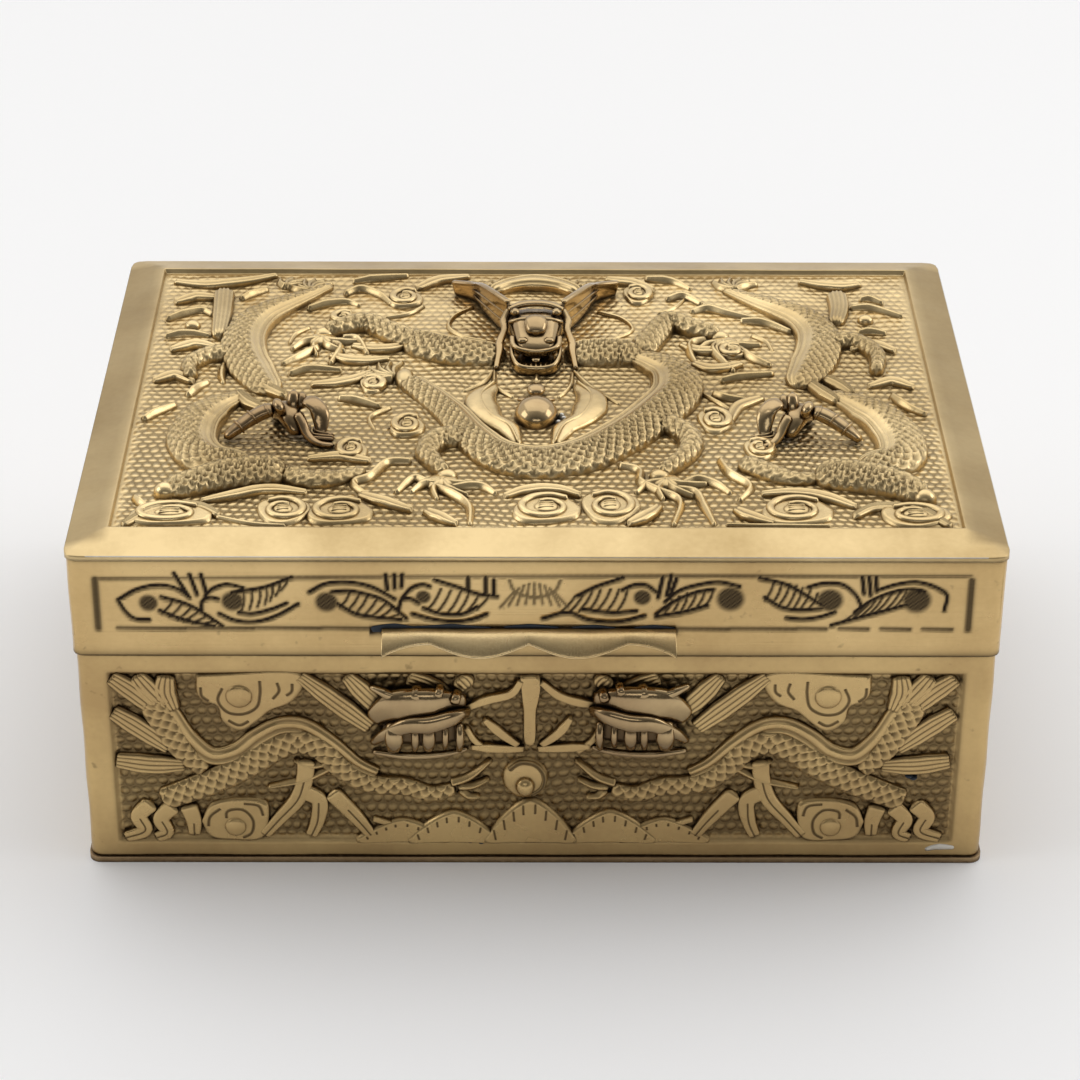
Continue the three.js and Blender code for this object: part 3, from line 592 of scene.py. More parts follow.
# The heads' dark brown is painted reflection of the dark room that they mirror.
HEAD_SHADED_BROWN, HEAD_SHADED_DEEP = (0.52, 0.38, 0.2), (0.34, 0.23, 0.12)
# These dark colours are mixed in for patina and for painted shade alike.
FIELD_PATINA_AND_SHADE = (0.18, 0.125, 0.058)
RELIEF_PATINA_AND_SHADE = (0.12, 0.08, 0.036)
WALL_PATINA_AND_SHADE = (0.06, 0.038, 0.019)
BAND_PATINA_AND_SHADE = (0.028, 0.02, 0.014)
HEAD_PATINA_AND_SHADE = (0.08, 0.05, 0.026)
lid_brass = brass("lid_field_brass", GOLD, GOLD_DEEP, FIELD_PATINA_AND_SHADE, 0.27, rings=3.0, ground_dark=0.1)
relief_brass = brass("chased_brass", GOLD, GOLD_DEEP, RELIEF_PATINA_AND_SHADE, 0.23, crevice=0.0022)
# The walls' ground is set much darker than the lid's: painted shade of a face that mirrors the dark floor,
# with patina.
wall_brass = brass("wall_brass", TAN_SHADED, TAN_SHADED_DEEP, WALL_PATINA_AND_SHADE, 0.3, rings=3.0, ring_pitch=1.95,
                   ground_dark=0.5, spots=0.4)
wall_relief_brass = brass("wall_relief_brass", TAN_SHADED, TAN_SHADED_DEEP, WALL_PATINA_AND_SHADE, 0.26, crevice=0.0022)
band_brass = brass("band_brass", BAND_TAN_SHADED, BAND_SHADED_DEEP, BAND_PATINA_AND_SHADE, 0.27, brushed=0.5, spots=0.3)
shaded_head_brass = brass("polished_heads_painted_dark", HEAD_SHADED_BROWN, HEAD_SHADED_DEEP, HEAD_PATINA_AND_SHADE, 0.14)
print(len(bpy.data.materials), "materials")


# %% Keep a finished piece
def keep(bm, name, material, replaces=(), solid=False):
    if solid:
        bmesh.ops.recalc_face_normals(bm, faces=bm.faces)
    for face in bm.faces:
        face.smooth = True
    mesh = bpy.data.meshes.new(name)
    bm.to_mesh(mesh)
    bm.free()
    mesh.materials.append(material)
    piece = bpy.data.objects.new(name, mesh)
    bpy.context.scene.collection.objects.link(piece)
    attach(piece, "root")
    if replaces:
        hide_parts(*replaces)
    triangles = sum(len(p.vertices) - 2 for p in mesh.polygons)
    print(f"{name}: {triangles} triangles")
    return piece


# %% [markdown]
# ## The lid's plate
# One sheet: a thin rim, a border that slopes up to a crest, a short step down, and the sunk field. The
# grid is bent over this profile like paper over a tray, so its lines turn the corners on the mitres. The
# ground of the field heaves a little, as hammered sheet does.

# %% The lid sheet
def rounded_corner(x, y, half_x, half_y, radius):
    qx = np.maximum(np.abs(x) - (half_x - radius), 0)
    qy = np.maximum(np.abs(y) - (half_y - radius), 0)
    scale = np.maximum(qx, qy) / (np.hypot(qx, qy) + 1e-9)
    both = (qx > 0) & (qy > 0)
    nx = np.where(both, np.sign(x) * (half_x - radius + qx * scale), x)
    ny = np.where(both, np.sign(y) * (half_y - radius + qy * scale), y)
    return nx, ny


def heave(x, y):
    return (0.16 * np.sin(x * 0.31 + 1.3 * np.sin(y * 0.17)) * np.sin(y * 0.37 + 0.8)
            + 0.06 * np.sin(x * 0.9 + 2.0) * np.sin(y * 1.1))


OVERHANG = 0.3
RIM_WIDTH = 0.3
outer_x = LID_WIDTH / 2 + OVERHANG
outer_y = LID_DEPTH / 2 + OVERHANG
slope_in = [1.2, 3.0, 5.0, 6.4, 7.0]
slope_z = [RIM_TOP + BORDER_RISE * (d - RIM_WIDTH) / (BORDER_WIDTH - RIM_WIDTH) for d in slope_in]
profile_in = [0.0, 0.0, 0.06, RIM_WIDTH, *slope_in, BORDER_WIDTH, 7.45, 7.6, 7.85]
profile_z = [
    RIM_BOTTOM, RIM_TOP - 0.2, RIM_TOP - 0.05, RIM_TOP, *slope_z, CREST, CREST - 0.1, FIELD_TOP + 0.25,
    FIELD_TOP,
]
EDGE_ROWS = len(profile_in) - 1
FIELD_COLUMNS = 344
FIELD_ROWS = 236
BORDER_SHADE = 0.26
SIDE_BORDER_SHADE = 0.34
half_field_x = outer_x - profile_in[-1]
half_field_y = outer_y - profile_in[-1]


def tray_axis(u, cells, half_inner, half_outer):
    """Turns a share of the grid into a place on one axis and a place along the edge's profile."""
    total = cells + 2 * EDGE_ROWS
    index = u * total
    from_edge = np.minimum(index, total - index)
    inward = np.interp(from_edge, np.arange(EDGE_ROWS + 1), profile_in)
    edge_place = half_outer - inward
    inner = (index - EDGE_ROWS) / cells * 2 * half_inner - half_inner
    place = np.where(from_edge < EDGE_ROWS, np.sign(index - total / 2) * edge_place, inner)
    return place, from_edge


def lid_sheet(u, v):
    x, ax = tray_axis(u, FIELD_COLUMNS, half_field_x, outer_x)
    y, ay = tray_axis(v, FIELD_ROWS, half_field_y, outer_y)
    rank = np.minimum(ax, ay)
    z = np.interp(rank, np.arange(EDGE_ROWS + 1), profile_z)
    inside = np.clip((rank - EDGE_ROWS) / 4, 0, 1)
    slope = np.clip((rank - 3) / 2, 0, 1) * (rank < EDGE_ROWS)
    z = z + inside * heave(x, y) - 0.05 * slope * (1 + np.sin(x * 0.21) * np.sin(y * 0.17 + 1))
    x, y = rounded_corner(x, y, outer_x, outer_y, CORNER + OVERHANG)
    fade = np.clip(0.75 - 0.012 * y, 0.3, 1)
    step_dark = np.exp(-((rank - (EDGE_ROWS - 0.5)) / 0.9) ** 2) * 0.5
    # The border is painted darker all round, and its left and right slopes more: painted shade.
    past_side = np.clip((np.abs(x) - half_field_x) / 2, 0, 1) * (np.abs(y) < half_field_y + 4)
    border = (rank < EDGE_ROWS - 1) * (BORDER_SHADE + SIDE_BORDER_SHADE * past_side)
    return np.stack([x, y, z], 1), np.stack([x, y, inside * fade], 1), np.maximum(step_dark, border)


bm = new_mesh()
surface(bm, FIELD_COLUMNS + 2 * EDGE_ROWS, FIELD_ROWS + 2 * EDGE_ROWS, lid_sheet)
rim = [edge for edge in bm.edges if edge.is_boundary]
bmesh.ops.edgeloop_fill(bm, edges=rim)
keep(bm, "lid_plate_sheet", lid_brass, replaces=("lid_plate",))

# %% [markdown]
# ## The centre dragon
# Its body coils round the pearl. In the real sheet the belly is a smooth band with a fine raised line at
# its inner edge, and the back is a steep slope of overlapping scales. One ribbon carries both.

# %% The coil and the neck
coil = [
    (16.5, 15.4), (20.6, 13.4), (25.6, 8), (26.6, 0), (22.4, -9), (16, -18), (8, -25.6), (0, -28),
    (-7, -25), (-12, -17.5), (-15.8, -9), (-20, -2), (-24.6, 4.5),
]
COIL_WIDTH = [3.4, 8.4, 10.4, 10.6, 10.6, 10.4, 10.4, 10.4, 9.4, 8, 7, 6.4, 5]
bm = new_mesh()
ribbon(bm, on_lid, coil, COIL_WIDTH, [1.2, 2.8, 2.9, 2.9, 2.6, 2.2, 1.8], dragon_body, 0.27, 46)
for neck in ([(21, 13.6), (17, 15.6), (11.4, 15.4), (5.5, 14.4)],
             [(-5.6, 14.6), (-12, 15.2), (-19, 17.4), (-25, 21.6)]):
    ribbon(bm, on_lid, neck, [8.2, 9.4, 9], [2.4, 2.8, 2.6], dragon_body, 0.27, 40)
arch = [(-8.8, 41.8), (-5, 45), (0, 46.4), (5, 44.8), (8.8, 41.4)]
ribbon(bm, on_lid, arch, [3.4, 5.2, 3.4], 2.2, belly_band, 0.3, 30)
for k in range(-6, 7):
    root = (k * 1.5, 47.4 - 0.07 * k * k)
    ribbon(bm, on_lid, [root, (root[0] * 1.16, root[1] + 2.4)], [1.3, 0.8], [1.0, 0.6], sharp, 0.4, 8,
           cap=0.5)
keep(bm, "centre_dragon_body", relief_brass)

# %% Limbs and claws of the centre dragon
centre_limbs = [
    ([(-20, 18), (-27, 22.5), (-33.4, 27.6), (-38, 25.4), (-41.4, 23.4)], [6.4, 5.4, 3.4], 2.5),
    ([(20, 15), (23, 22), (26.6, 28.6), (31, 25.2), (36, 22.2)], [6.4, 5.4, 3.4], 2.5),
    ([(-12.6, -18), (-18, -19.4), (-20, -24), (-18.4, -29), (-16.2, -33)], [6.4, 4.8, 2.8], 2.3),
    ([(23, -12), (28, -18), (28, -23.6), (24.6, -29.6), (22.2, -33)], [5.4, 4.8, 2.8], 2.3),
]
centre_claws = [
    [(-42, 18.4), (-45, 15), (-49, 11)], [(-40, 20), (-38, 18.6), (-39.6, 11.4)],
    [(-38, 22.2), (-35, 21.6), (-32.4, 15.4)], [(33.6, 22), (30.2, 20), (30, 16), (31, 11.6)],
    [(37, 22), (34.4, 18), (36, 13), (38.2, 8.4)], [(39.2, 18.6), (41.6, 14.4), (45.4, 11)],
    [(-16.4, -33.6), (-19, -35.6), (-22, -33.4), (-25.4, -38.6)],
    [(-19.6, -35.6), (-15.6, -38.6), (-12.2, -43), (-11.8, -50)],
    [(-15.6, -36.8), (-10, -36.2), (-7, -39.2)],
    [(14.8, -28.2), (18.6, -30.4), (18.8, -34.8), (22, -38), (25.4, -41), (24, -50)],
    [(24.8, -36.8), (28.4, -38.4), (30, -44), (31.4, -50)],
    [(26, -35.4), (28.8, -33.6), (32.4, -35.4), (35, -39)],
    [(33.4, -26), (35, -31.4), (38.4, -36.2), (36, -41.4)],
    [(-22.6, -27), (-27, -27.4), (-30.4, -33), (-33, -35), (-29.8, -40)],
]
CLAW_WIDTH = [1.7, 2.0, 1.9, 1.2]
bm = new_mesh()
for line, width, height in centre_limbs:
    ribbon(bm, on_lid, line, width, height, scaled_limb, 0.3, 26)
    dome(bm, on_lid, line[-1], 2.1, 1.9, 1.9)
for line in centre_claws:
    ribbon(bm, on_lid, line, CLAW_WIDTH, [1.1, 1.5, 1.3, 0.8], sharp, 0.45, 10, cap=0.5)
palms = [(-41.6, 21.4), (36.6, 20.2), (-17, -34.6), (23.4, -34.6)]
for x, y in palms:
    dome(bm, on_lid, (x, y), 3.2, 2.6, 1.3, power=0.45)
    for angle in (200, 245, 290, 335):
        a = math.radians(angle)
        knuckle = (x + 3.6 * math.cos(a), y + 3.0 * math.sin(a))
        tip = (x + 7.6 * math.cos(a + 0.35), y + 6.6 * math.sin(a + 0.35))
        ribbon(bm, on_lid, [(x, y), knuckle, tip], [2.2, 1.9, 1.0], [1.4, 1.5, 0.8], sharp, 0.4, 10,
               cap=0.5)
keep(bm, "centre_dragon_limbs", relief_brass)

# %% [markdown]
# ## The side dragons
# They answer each other across the lid but aren't exact mirrors, so each keeps its own lines: body, a
# looped coil, a scaled limb that ends in a knob, tail tip, crest and toes.

# %% The side dragons
side_dragons = [
    dict(turn=-1,
         body=[(-41, 45.6), (-45.4, 40.8), (-50.6, 35.4), (-55, 29.4), (-56.8, 21), (-55.8, 13), (-53.2, 6),
               (-50, -1)],
         loop=[(-55, -1.6), (-60, -6.6), (-63, -14), (-63, -21.4), (-60, -26.6), (-52, -29)],
         limb=[(-45, -31.2), (-52, -32.6), (-58, -34.4), (-63, -37.2), (-66.4, -39.4)],
         tip=[(-46, -31.6), (-41, -34.4), (-36, -33.6), (-31, -30.4)],
         stub=[(-62.4, 43), (-62, 32), (-61.8, 22)], leg=[(-58, 15), (-63, 14), (-66.4, 10), (-65.6, 4.6)],
         toes=[[(-73, 30.2), (-69, 33), (-66, 34.2), (-63.6, 32)],
               [(-72.6, 22.6), (-70, 23.6), (-67, 24), (-63.4, 23)],
               [(-73.4, -11.4), (-71, -8.4), (-67.4, -5)], [(-59, 39), (-56.4, 41.8), (-53.4, 43.8)],
               [(-45.4, 35), (-41, 37.4), (-37.4, 38), (-34.6, 36)],
               [(-38.4, 41.6), (-35.4, 43.8), (-31.4, 41.6), (-28.4, 37)],
               [(-37, 47.2), (-31.4, 48.8), (-25.4, 50.2)], [(-47.4, 7), (-43.4, 9.2), (-37, 8.8)],
               [(-37.6, -2.6), (-33.4, -3.8), (-29, -6)], [(-72, -40), (-70, -43), (-67.4, -46)],
               [(-66, -2), (-64, 2), (-62, 4)], [(-60, 11), (-60, 6), (-59.4, 3)]],
         ball=(-67.4, 27.2), knob=(-66.4, -39),
         mane=[[(-56.5, -1), (-54, -5), (-51, -8)], [(-53, 3), (-50, 0), (-47, -3)]]),
    dict(turn=1,
         body=[(38, 44), (43.6, 38.8), (49, 34), (53.2, 29.4), (55.2, 23), (54.6, 16), (52.4, 9),
               (49.6, 2)],
         loop=[(55.4, -0.6), (60.4, -5.6), (65, -12.4), (67, -20), (66, -26.4), (58.6, -29.6)],
         limb=[(50, -32.4), (56, -33.4), (61, -34.8), (66, -37.4), (69.4, -41.4)],
         tip=[(37, -27.6), (42, -31.4), (46, -33.6), (52, -33)],
         stub=[(60.4, 42.4), (60.4, 35), (59.2, 28)], leg=[(57, 20), (62, 20.4), (65.8, 15), (65.2, 7.4)],
         toes=[[(62.4, 35.6), (66, 35.8), (73, 32)], [(63, 24.8), (66, 25.4), (69, 24.6)],
               [(67.2, -0.8), (69.4, -5), (73.2, -8.8)], [(64.6, 39.4), (67, 39.6), (69.6, 37.8)],
               [(30.6, 33.6), (34, 35.4), (38, 33.4), (43.4, 31)], [(26, 39.4), (29.6, 41), (33.4, 37.2)],
               [(22, 49), (28, 47.4), (31.6, 43.6)], [(35, 4.8), (40, 6.4), (45.8, 7.8)],
               [(33.2, -0.4), (36, -2.4), (40, -3)], [(40.2, 30), (45, 29.2), (50.4, 25.2)]],
         ball=(65.2, 30.2), knob=(69.2, -41),
         mane=[[(52, 3), (54.6, -1), (57, -5)], [(55, 5), (58, 2), (60, -2)]]),
]
for dragon in side_dragons:
    bm = new_mesh()
    turn = dragon["turn"]
    ribbon(bm, on_lid, dragon["body"], [2.2, 5.6, 8.4, 9.4, 9.4, 6], [0.9, 2.2, 2.6, 1.6], dragon_body,
           0.27, 40, side=turn)
    ribbon(bm, on_lid, dragon["loop"], [3.4, 8.6, 10, 9.6, 7.6], [1.2, 2.5, 2.6, 2.5], dragon_body, 0.27,
           42, side=turn)
    ribbon(bm, on_lid, dragon["limb"], [8.6, 8.2, 5.4], [3.1, 3.3, 2.6], scaled_limb, 0.28, 36)
    ribbon(bm, on_lid, dragon["tip"], [5, 4.6, 2.6], [2.1, 1.9, 1.2], scaled_limb, 0.3, 20)
    ribbon(bm, on_lid, dragon["stub"], [4.6, 4.2, 3.4], 1.8, veined, 0.35, 22)
    ribbon(bm, on_lid, dragon["leg"], [4.4, 4, 2.8], 2.1, scaled_limb, 0.3, 20)
    dome(bm, on_lid, dragon["ball"], 1.7, 1.5, 1.5)
    dome(bm, on_lid, dragon["knob"], 2.3, 2.0, 2.5)
    for line in dragon["toes"]:
        ribbon(bm, on_lid, line, [1.5, 2.0, 1.8, 1.1], [1.0, 1.5, 1.2, 0.8], sharp, 0.45, 10, cap=0.5)
    for line in dragon["mane"]:
        ribbon(bm, on_lid, line, [2.4, 3.4, 2], 1.8, veined, 0.35, 18)
    keep(bm, f"{'left' if turn < 0 else 'right'}_dragon_body", relief_brass)

# %% [markdown]
# ## Clouds, flames and whiskers
# Each cloud is a bevelled patch with a spiral on it and a hatched disc at its heart. The flames that rise
# beside the pearl are broad smooth leaves. Thin raised lines draw whiskers and the loop behind the pearl.

# %% One cloud
def cloud(bm, face, at, radius_x, radius_y, turn, height=0.75):
    outline = []
    for step in range(12):
        angle = 2 * math.pi * step / 12
        swell = 1.04 + 0.1 * math.cos(3 * angle + turn)
        outline.append((at[0] + radius_x * swell * math.cos(angle),
                        at[1] + radius_y * swell * math.sin(angle)))
    plateau(bm, face, outline, height)
    spiral = curl(at, radius_x * 0.88, radius_y * 0.88, 1.25, turn, 0.7 if turn > 0 else 2.4, 0.42)
    ribbon(bm, face, spiral, [1.1, 1.7, 1.5, 1.0], 0.7, rounded, 0.4, 12, base=height - 0.1)
    dome(bm, face, at, radius_x * 0.4, radius_y * 0.4, 0.65, base=height - 0.1, power=0.6)
    half = radius_x * 0.28
    for step in (-1, 0, 1):
        y = at[1] + step * radius_y * 0.15
        ribbon(bm, face, [(at[0] - half, y - 0.2), (at[0] + half, y + 0.2)], 0.4, 0.22, sharp, 0.5, 6,
               base=height + 0.42)


print("a cloud is a patch, a spiral, a disc and three hatches")

# %% Clouds and flames on the lid
lid_clouds = [
    ((-65, -46.4), 7.4, 3.8, 1), ((-45, -45.2), 4.8, 4.4, -1), ((-35, -45.4), 5.8, 4.6, 1),
    ((1.6, -44.2), 6, 5, 1), ((13, -43.6), 5.2, 5.4, -1), ((46, -45), 6.4, 5, 1),
    ((67, -46.6), 6.2, 3.8, -1), ((-26, 39.6), 3.4, 3.8, 1), ((20.6, 41.4), 3, 3.8, -1),
    ((-24, -13.6), 3.2, 4, 1), ((33.4, -11.4), 3.4, 4.4, -1), ((-34, -23), 3, 3.8, 1),
    ((41, -22.4), 3, 3.6, -1), ((-38, 30.6), 2.6, 2.6, 1), ((-31, 2.6), 2.6, 3, -1),
    ((38, 16.6), 2.6, 2.6, 1),
]
bm = new_mesh()
for at, radius_x, radius_y, turn in lid_clouds:
    cloud(bm, on_lid, at, radius_x, radius_y, turn)
for turn in (-1, 1):
    flame = [(7.6, 3), (10.4, -3), (8.6, -10.6), (5.2, -14.6), (3.4, -21)]
    line = flame if turn > 0 else mirrored(flame)
    ribbon(bm, on_lid, line, [2, 6, 7, 5, 4.4, 1.6], [0.9, 1.5, 1.5, 1.3, 0.9], rounded, 0.5, 18)
    ribbon(bm, on_lid, line, [0.5, 0.7, 0.5], 0.35, sharp, 0.6, 6, base=1.3)
    corner = [(turn * 73, -50.6), (turn * 68, -44.6), (turn * 60, -43.6), (turn * 56, -47)]
    ribbon(bm, on_lid, corner, [1.4, 3.4, 3, 1.6], 1.1, veined, 0.45, 16)
thin_lines = [
    [(7, 9), (11, 1), (16, -5)], [(-8, 9), (-10, 4), (-14, 0)], [(-8, 9), (-7.4, 2), (-4, -2.4)],
    [(7, 8), (6.4, 2), (4, -2.4)], [(0, 11), (0.2, 8), (0, 4.5)],
    [(-12, 36), (-16, 32), (-17, 27), (-14, 23), (-9, 21)], [(12, 34), (17, 31), (19, 26), (15, 22)],
    [(-30, 31), (-25, 33), (-22, 37)], [(24, 33), (27, 35), (30, 40)], [(-27, -6), (-31, -10), (-30, -15)],
    [(31, 0), (35, -5), (38, -9)], [(-44, 27), (-47, 24), (-48, 20)], [(42, 24), (45, 21), (46, 17)],
    [(-57, -47), (-50, -49.6), (-44, -50)], [(33, -49.6), (40, -50), (52, -49.8)],
]
wisps = [
    [(-73, 47), (-66, 45.6), (-58, 47.4), (-52, 50)], [(-72, 37.6), (-68, 40), (-63, 39.6)],
    [(-71, 17), (-66, 19.4), (-62, 18)], [(-36, 19), (-30, 17.4), (-24, 19.6)],
    [(-40, 15), (-34, 12.4), (-28, 13.4)], [(-43, 2.6), (-36, 4), (-31, 8)],
    [(-30, -27), (-36, -25.4), (-42, -26.4)], [(-41, -38.6), (-48, -37.4), (-54, -39.4), (-60, -42)],
    [(-32, -39), (-27, -42), (-22, -45)], [(-6, -40), (-2, -37.6), (4, -37.4), (8, -39.6)],
    [(35, -44), (38, -47), (42, -49.4)], [(57, -43.6), (52, -40), (46, -38.4), (40, -39)],
    [(28, 20), (32, 17), (38, 18)], [(30, 12), (34, 9.4), (40, 11.6)], [(43, -2), (38, -6), (36, -12)],
    [(-24, 44), (-20, 47.6), (-13, 49.6)], [(14, 48.8), (20, 46.6), (24, 43.4)],
    [(66, 46.6), (60, 45.4), (53, 47.6)], [(70, 17), (66, 19.6), (61, 17.4)], [(72, 2), (68, 4.4), (63, 2)],
    [(-73, 4), (-69, 6.4), (-65, 3.4)], [(-20, -44.6), (-17, -47.4), (-14, -50)],
    [(16, -49.6), (20, -46), (22, -43)],
]
for line in wisps:
    ribbon(bm, on_lid, line, [1.6, 3.0, 2.6, 1.4], [0.8, 1.2, 0.9], grooved, 0.42, 14, cap=0.6)
for line in thin_lines:
    ribbon(bm, on_lid, line, [0.9, 1.2, 0.8], [0.7, 0.8, 0.5], sharp, 0.5, 8, cap=0.5)
for x, y, lean, length, count in ((-27, 5, 126, 7.5, 6), (-45, 42, 94, 6.4, 6), (40, 43, 84, 6.4, 6),
                                  (-50, 44, 60, 5, 4)):
    for k in range(count):
        angle = math.radians(lean + 95 * (k / (count - 1) - 0.5))
        tip = (x + math.cos(angle) * length, y + math.sin(angle) * length)
        bend = (x + math.cos(angle + 0.25) * length * 0.5, y + math.sin(angle + 0.25) * length * 0.5)
        ribbon(bm, on_lid, [(x, y), bend, tip], [1.9, 2.0, 1.1], [1.5, 1.3, 0.7], sharp, 0.45, 10, cap=0.5)
dome(bm, on_lid, (-25, 5), 2.0, 3.2, 2.1, dark=0.25)
keep(bm, "lid_clouds_and_flames", relief_brass)

# %% [markdown]
# ## The box walls
# The walls are one bent sheet. Its grid goes once round the box, and over the top edge down the inside,
# so the sheet has the thickness of the CAD's. The cells are fine at the front and wider on the other
# sides. Each side has a plain frame and a sunk panel.

# %% A sheet bent round the box
INSIDE_ROWS = 3


def ring_columns(width, depth, front_step, side_step):
    """Places round a rectangle, from the middle of the back, by the length of sheet that they take."""
    spans = ((width / 2, side_step), (depth, side_step), (width, front_step), (depth, side_step),
             (width / 2, side_step))
    places, start = [0.0], 0.0
    for length, step in spans:
        count = round(length / step)
        places += list(start + length * np.arange(1, count + 1) / count)
        start += length
    return np.array(places)


def round_the_box(place, width, depth):
    """The face number and the place across that face, for a place along the sheet."""
    edges = np.cumsum([0, width / 2, depth, width, depth, width / 2])
    side = np.clip(np.searchsorted(edges, place, side="right") - 1, 0, 4)
    within = place - edges[side]
    across = np.choose(side, [within, within - depth / 2, within - width / 2, within - depth / 2,
                              within - width / 2])
    return side, across


def sheet_ring(bm, width, depth, front_step, side_step, heights, detail):
    columns = ring_columns(width, depth, front_step, side_step)
    count = len(columns) - 1
    rows = len(heights) + INSIDE_ROWS - 1
    bottom, top = heights[0], heights[-1]
    levels = np.r_[heights, top, bottom, bottom]
    inward = np.r_[np.zeros(len(heights)), WALL, WALL, 0]

    def place(u, v):
        i = np.rint(u * count).astype(int) % (count + 1)
        j = np.rint(v * rows).astype(int)
        side, across = round_the_box(columns[i], width, depth)
        z = levels[j]
        outer = inward[j] == 0
        push, plan, dark = detail(side, across, z)
        push = np.where(outer, push, 0) - inward[j]
        reach = np.array([depth, width, depth, width, depth])[side] / 2 + push
        limit = np.array([width, depth, width, depth, width])[side] / 2 - inward[j]
        a = np.clip(across, -limit, limit)
        x = np.choose(side, [-a, -reach, a, reach, -a])
        y = np.choose(side, [reach, -a, -reach, a, reach])
        radius = np.where(outer, CORNER, CORNER - WALL + 0.4)
        x, y = rounded_corner(x, y, width / 2 - inward[j], depth / 2 - inward[j], radius)
        return np.stack([x, y, z], 1), plan, np.where(outer, dark, 0.3)

    made = surface(bm, count, rows, place)
    bmesh.ops.remove_doubles(bm, verts=made, dist=1e-6)


print("a bent sheet has", INSIDE_ROWS, "rows inside")


# %% The wall sheet
def wall_detail(side, across, z):
    half = np.where(side % 2 == 0, PANEL_WIDTH, END_PANEL_WIDTH) / 2
    from_side = half - np.abs(across)
    inside = np.minimum(from_side, np.minimum(z - PANEL_LOW, PANEL_HIGH - z))
    sunk = np.clip(inside / 0.5, 0, 1)
    sunk = sunk * sunk * (3 - 2 * sunk)
    push = -PANEL_SINK * sunk + sunk * heave(across, z * 1.4) * 0.8
    # Towards the foot the wall is painted darker: painted contact shade near the floor, with patina.
    foot = np.exp(-z / 3.0)
    groove = np.exp(-((inside - 0.3) / 0.5) ** 2) * 0.45
    frame_wave = 0.06 * np.sin(across * 0.23 + z * 0.4) * (1 - sunk)
    dark = np.maximum(groove, 0.55 * foot)
    return push + frame_wave, np.stack([across, z, np.clip((inside - 0.4) / 0.8, 0, 1) * 0.9], 1), dark


BASE_TOP = wall_low[2]
WALL_ROWS, WALL_FRONT_STEP, WALL_QUIET_STEP = 86, 0.46, 0.85
fine_rows = np.linspace(BASE_TOP, SEAM, WALL_ROWS)
bm = new_mesh()
sheet_ring(bm, BODY_WIDTH, BODY_DEPTH, WALL_FRONT_STEP, WALL_QUIET_STEP, fine_rows, wall_detail)
keep(bm, "box_wall_sheet", wall_brass, replaces=("box_walls",), solid=True)

# %% [markdown]
# ## The front wall's relief
# Two dragons come in from the corners towards a pearl over waves. Their heads are raised higher than the
# rest, so they come later as pieces of their own.

# %% The front dragons
scale_bands = [
    [(-69.4, 35.6), (-66.6, 30), (-64, 24.6), (-60, 19.8)],
    [(-68.4, 13.4), (-63.6, 15.4), (-57.6, 18.2), (-52, 21.4), (-47, 25), (-43, 26.4), (-39, 25),
     (-36, 21.2), (-32, 18), (-28, 16.8), (-24, 16.6), (-19, 15), (-14.6, 16.2)],
]
belly_line = [
    (-66, 33.6), (-62.6, 27), (-58.6, 23.2), (-54, 24.2), (-50, 27.6), (-46, 29.8), (-42, 29.6), (-37, 26),
    (-32.4, 21.6), (-28.6, 19.4),
]
front_legs = [
    [(-41.6, 22.6), (-42, 18.4), (-43.4, 14), (-47, 9.4), (-50, 5.6)],
    [(-42.4, 15.6), (-39.6, 13.6), (-40, 9), (-41.4, 5.4)],
    [(-37.4, 15.4), (-34.6, 12), (-32, 8.6), (-30, 5.6)],
    [(-70, 13), (-72.6, 10), (-71.6, 7), (-75.6, 5.2)],
    [(-66, 12.4), (-68.6, 9.4), (-67.6, 6.4), (-70, 5.2)], [(-63.6, 12.6), (-62.6, 9), (-62.6, 5.6)],
]
front_plumes = [
    [(-65, 33), (-66.4, 37), (-66, 40.8)], [(-68, 33), (-72, 37), (-76, 40.4)],
    [(-66.4, 34), (-69.6, 38), (-71.4, 40.8)], [(-66, 24.8), (-71, 29), (-76.2, 33)],
    [(-63.4, 21.4), (-70, 21.4), (-76.2, 22.4)], [(-42.4, 40.8), (-36, 35), (-29.6, 29.4)],
    [(-34, 40.8), (-30.4, 36.4), (-26.6, 32.6)], [(-15, 35.6), (-18.6, 38), (-23, 40.4)],
    [(-12, 38), (-14, 40.4)],
]
front_claws = [
    [(-15.6, 17), (-12, 18.6), (-8, 22.6)], [(-14.4, 16.4), (-11.6, 16.6), (-8.4, 18.4)],
    [(-14, 16), (-12.4, 14.4), (-10, 14.4)], [(-36.6, 21), (-42, 18), (-49, 16.4)],
    [(-38, 21.6), (-40.6, 21), (-44, 22.4)],
]


def turned(points, turn):
    """The front was drawn for the left dragon. The right one answers it about the pearl's line."""
    return points if turn < 0 else mirrored(points, about=-0.5)


bm = new_mesh()
for turn in (-1, 1):
    for line in scale_bands:
        ribbon(bm, on_front, turned(line, turn), [5, 5.8, 5.8, 5.4, 4.6, 4.2, 3], [1.0, 1.2, 1.3, 1.2, 1.0],
               flat_scales, 0.24, 30, side=turn, cap=0.5)
    ribbon(bm, on_front, turned(belly_line, turn), [3.4, 4, 4, 3.6, 2.4], 1.15, belly_band, 0.35, 22,
           side=turn, cap=0.5)
    for line in front_legs:
        ribbon(bm, on_front, turned(line, turn), [3.6, 3.2, 2.2], 0.95, flat, 0.4, 14, cap=0.5)
        ribbon(bm, on_front, turned(line[1:], turn), 0.5, 0.1, inked, 0.5, 4, base=0.93)
    for line in front_plumes:
        ribbon(bm, on_front, turned(line, turn), [2.6, 4.2, 4.4, 3.2], 0.95, feathered, 0.4, 26, cap=0.3)
    for line in front_claws:
        ribbon(bm, on_front, turned(line, turn), [2.2, 2, 1.2], 1.1, sharp, 0.4, 10, cap=0.5)
keep(bm, "front_dragons", wall_relief_brass)

